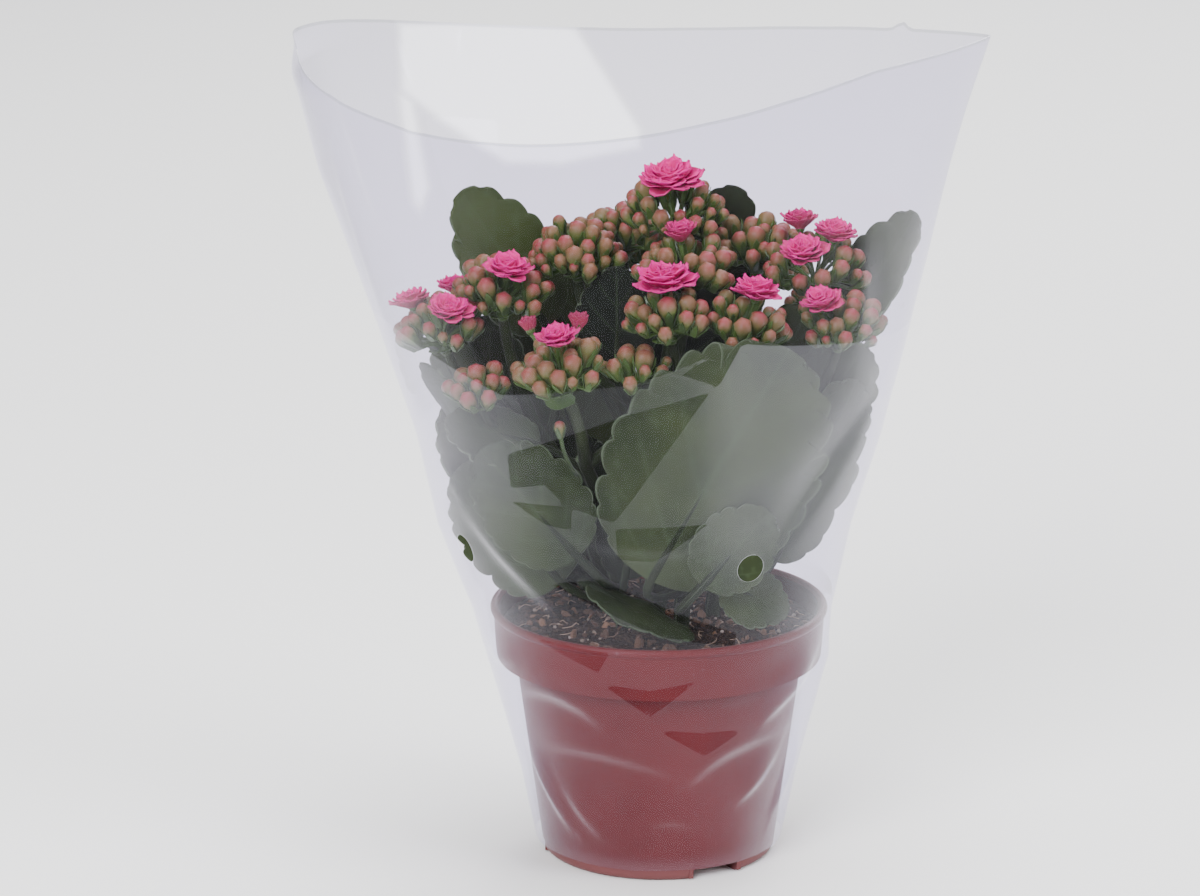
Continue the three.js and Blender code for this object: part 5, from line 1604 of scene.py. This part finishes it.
# Stems, heads and blooms
class KALANCHOE_OT_stems(bpy.types.Operator):
    """Model the leafy stems: stalks, petioles and scalloped leaves"""
    bl_idname = "kalanchoe.stems"
    bl_label = "Leafy stems"

    def execute(self, context):
        settings = context.scene.kalanchoe_plant
        looks = [leaf_material(settings)]
        for name in STEMS:
            rods = Bunch()
            stem_rods(rods, name)
            blades = []
            for order, leaf in enumerate(LEAVES):
                if leaf.stem == name:
                    blade_rib(rods, leaf)
                    blades.append(leaf_blade(leaf, order, settings))
            stem = rods.piece(name)
            activate(stem)
            for blade in blades:
                blade.select_set(True)
            bpy.ops.object.join()
            finish_piece(stem, "leafy_" + name, name, looks, 50)
        return {"FINISHED"}


class KALANCHOE_OT_heads(bpy.types.Operator):
    """Model the dense heads of buds"""
    bl_idname = "kalanchoe.heads"
    bl_label = "Flower heads"

    def execute(self, context):
        settings = context.scene.kalanchoe_plant
        looks = [bud_material(settings), green_material(settings)]
        bud = bud_shape()
        bract = petal_shape(cup=0.12, lift=0.2, recurve=0.1, width=0.38)
        buds = settle_buds(settings)
        for name, head in HEADS.items():
            piece = head_piece(name, head, buds[name], bud, bract)
            finish_piece(piece, "buds_" + name, "head_" + name, looks, 60)
        return {"FINISHED"}


class KALANCHOE_OT_blooms(bpy.types.Operator):
    """Model the double blooms petal by petal"""
    bl_idname = "kalanchoe.blooms"
    bl_label = "Blooms"

    def execute(self, context):
        settings = context.scene.kalanchoe_plant
        looks = [petal_material(settings), green_material(settings)]
        layers = petal_layers()
        for order, bloom in enumerate(BLOOMS):
            piece = bloom_piece(bloom, order, layers, settings)
            number = f"{order + 1:02d}"
            finish_piece(piece, "petals_" + number, "bloom_" + number, looks, 60)
        return {"FINISHED"}


# Film sleeve
def film_point(a, b, settings):
    """A point of the sheet: a runs once round it from its left end, b from its foot to its mouth."""
    around = math.pi * a
    foot = SLEEVE_SECTIONS[0][0]
    peak = MOUTH_PEAK * math.exp(-(((a - MOUTH_PEAK_AT) / MOUTH_PEAK_WIDTH) ** 2))
    return sleeve_point(around, foot + (mouth_height(around) + peak - foot) * b, settings)


def vent_punch(angle):
    """A round punch that stands through the film at an angle."""
    deselect()
    bpy.ops.mesh.primitive_cylinder_add(vertices=32, radius=VENT_RADIUS * MM, depth=PUNCH_LENGTH * MM)
    punch = bpy.context.object
    punch.data.transform(Matrix.Rotation(math.pi / 2, 4, "X"))
    punch.data.transform(Matrix.Translation(place((0, -PUNCH_REACH, VENT_HEIGHT))))
    punch.data.transform(Matrix.Rotation(math.radians(angle), 4, "Z"))
    return punch


class KALANCHOE_OT_sleeve(bpy.types.Operator):
    """Model the clear film sleeve with its folds, seams and vent holes"""
    bl_idname = "kalanchoe.sleeve"
    bl_label = "Clear sleeve"

    def execute(self, context):
        settings = context.scene.kalanchoe_sleeve
        film = sheet_grid(FILM_COLUMNS, FILM_ROWS, lambda a, b: film_point(a, b, settings) * MM)
        close_points(film, 0.02)
        spots = [vertex.co / MM for vertex in film.data.vertices]
        for name, depth in (("veil", veil_depth), ("crease", crease_depth), ("glare", glare_depth)):
            mark(film.data, name, [depth(spot) for spot in spots])
        edit_whole(film, bpy.ops.mesh.normals_make_consistent, inside=False)
        apply_modifier(film, "SOLIDIFY", thickness=settings.film_thickness * MM, offset=-1)
        for angle in VENT_ANGLES:
            cut(film, vent_punch(angle), "DIFFERENCE", "MANIFOLD")
        finish_piece(film, "film_sleeve", "sleeve", [film_material(settings)], 60)
        return {"FINISHED"}


# Stage, in metres and degrees: the floor, each softbox's size and place, and the camera
FLOOR_SIZE = 14
SOFTBOXES = {
    "key": ((1.4, 1.2), (-1.1, -2.2, 1.45)),
    "fill": ((1.0, 1.5), (1.7, -0.9, 1.1)),
    "top": ((1.6, 1.6), (0.1, 0.2, 2.2)),
    "back": ((1.2, 0.8), (0.5, 1.8, 1.3)),
}
SOFTBOX_AIM = (0, 0, 0.15)
CAMERA_PLACE = (0, -1.9126, 0.67574)
CAMERA_PITCH = -15.44
CAMERA_YAW = 0.628
CAMERA_LENS = 168.48
CAMERA_SENSOR = 36
CAMERA_REACH = 50


def softbox(name, power, size, spot):
    deselect()
    bpy.ops.object.light_add(type="AREA", location=spot)
    lamp = bpy.context.object
    lamp.name = name
    lamp.data.energy = power
    lamp.data.shape = "RECTANGLE"
    lamp.data.size, lamp.data.size_y = size
    direction = Vector(SOFTBOX_AIM) - Vector(spot)
    lamp.rotation_euler = direction.to_track_quat("-Z", "Y").to_euler()


class KALANCHOE_OT_stage(bpy.types.Operator):
    """Set the floor, the soft lights and the camera"""
    bl_idname = "kalanchoe.stage"
    bl_label = "Stage"

    def execute(self, context):
        settings = context.scene.kalanchoe_stage
        deselect()
        bpy.ops.mesh.primitive_plane_add(size=FLOOR_SIZE)
        floor = context.object
        floor.name = "floor"
        floor.data.materials.append(floor_material(settings))
        for name, (size, spot) in SOFTBOXES.items():
            softbox(name, getattr(settings, name + "_power"), size, spot)
        world = bpy.data.worlds.new("Studio")
        world.use_nodes = True
        background = world.node_tree.nodes["Background"]
        background.inputs["Color"].default_value = (0.98, 0.98, 1, 1)
        background.inputs["Strength"].default_value = settings.world_strength
        context.scene.world = world
        deselect()
        bpy.ops.object.camera_add(
            location=CAMERA_PLACE,
            rotation=(math.radians(90 + CAMERA_PITCH), 0, math.radians(CAMERA_YAW)),
        )
        camera = context.object
        camera.data.sensor_width = CAMERA_SENSOR
        camera.data.lens = CAMERA_LENS
        camera.data.clip_end = CAMERA_REACH
        context.scene.camera = camera
        return {"FINISHED"}


class VIEW3D_PT_kalanchoe(bpy.types.Panel):
    """Lists the steps that model the potted kalanchoe"""
    bl_label = "Potted Kalanchoe"
    bl_idname = "VIEW3D_PT_kalanchoe"
    bl_space_type = "VIEW_3D"
    bl_region_type = "UI"
    bl_category = "Kalanchoe"

    def draw(self, context):
        for operator in OPERATORS:
            self.layout.operator(operator.bl_idname)
        for name in SETTINGS:
            settings = getattr(context.scene, name)
            for key in settings.bl_rna.properties.keys():
                if key not in ("rna_type", "name"):
                    self.layout.prop(settings, key)


SETTINGS = {
    "kalanchoe_plant": KalanchoePlantSettings,
    "kalanchoe_pot": KalanchoePotSettings,
    "kalanchoe_sleeve": KalanchoeSleeveSettings,
    "kalanchoe_stage": KalanchoeStageSettings,
}
OPERATORS = (
    KALANCHOE_OT_pot, KALANCHOE_OT_soil, KALANCHOE_OT_stems, KALANCHOE_OT_heads, KALANCHOE_OT_blooms,
    KALANCHOE_OT_sleeve, KALANCHOE_OT_stage,
)


def register():
    for settings in SETTINGS.values():
        bpy.utils.register_class(settings)
    for name, settings in SETTINGS.items():
        setattr(bpy.types.Scene, name, bpy.props.PointerProperty(type=settings))
    for operator in OPERATORS:
        bpy.utils.register_class(operator)
    bpy.utils.register_class(VIEW3D_PT_kalanchoe)


def unregister():
    bpy.utils.unregister_class(VIEW3D_PT_kalanchoe)
    for operator in reversed(OPERATORS):
        bpy.utils.unregister_class(operator)
    for name, settings in SETTINGS.items():
        delattr(bpy.types.Scene, name)
        bpy.utils.unregister_class(settings)


def main():
    register()
    bpy.ops.kalanchoe.stage()
    bpy.ops.kalanchoe.pot()
    bpy.ops.kalanchoe.soil()
    bpy.ops.kalanchoe.stems()
    bpy.ops.kalanchoe.heads()
    bpy.ops.kalanchoe.blooms()
    bpy.ops.kalanchoe.sleeve()


if __name__ == "__main__":
    main()
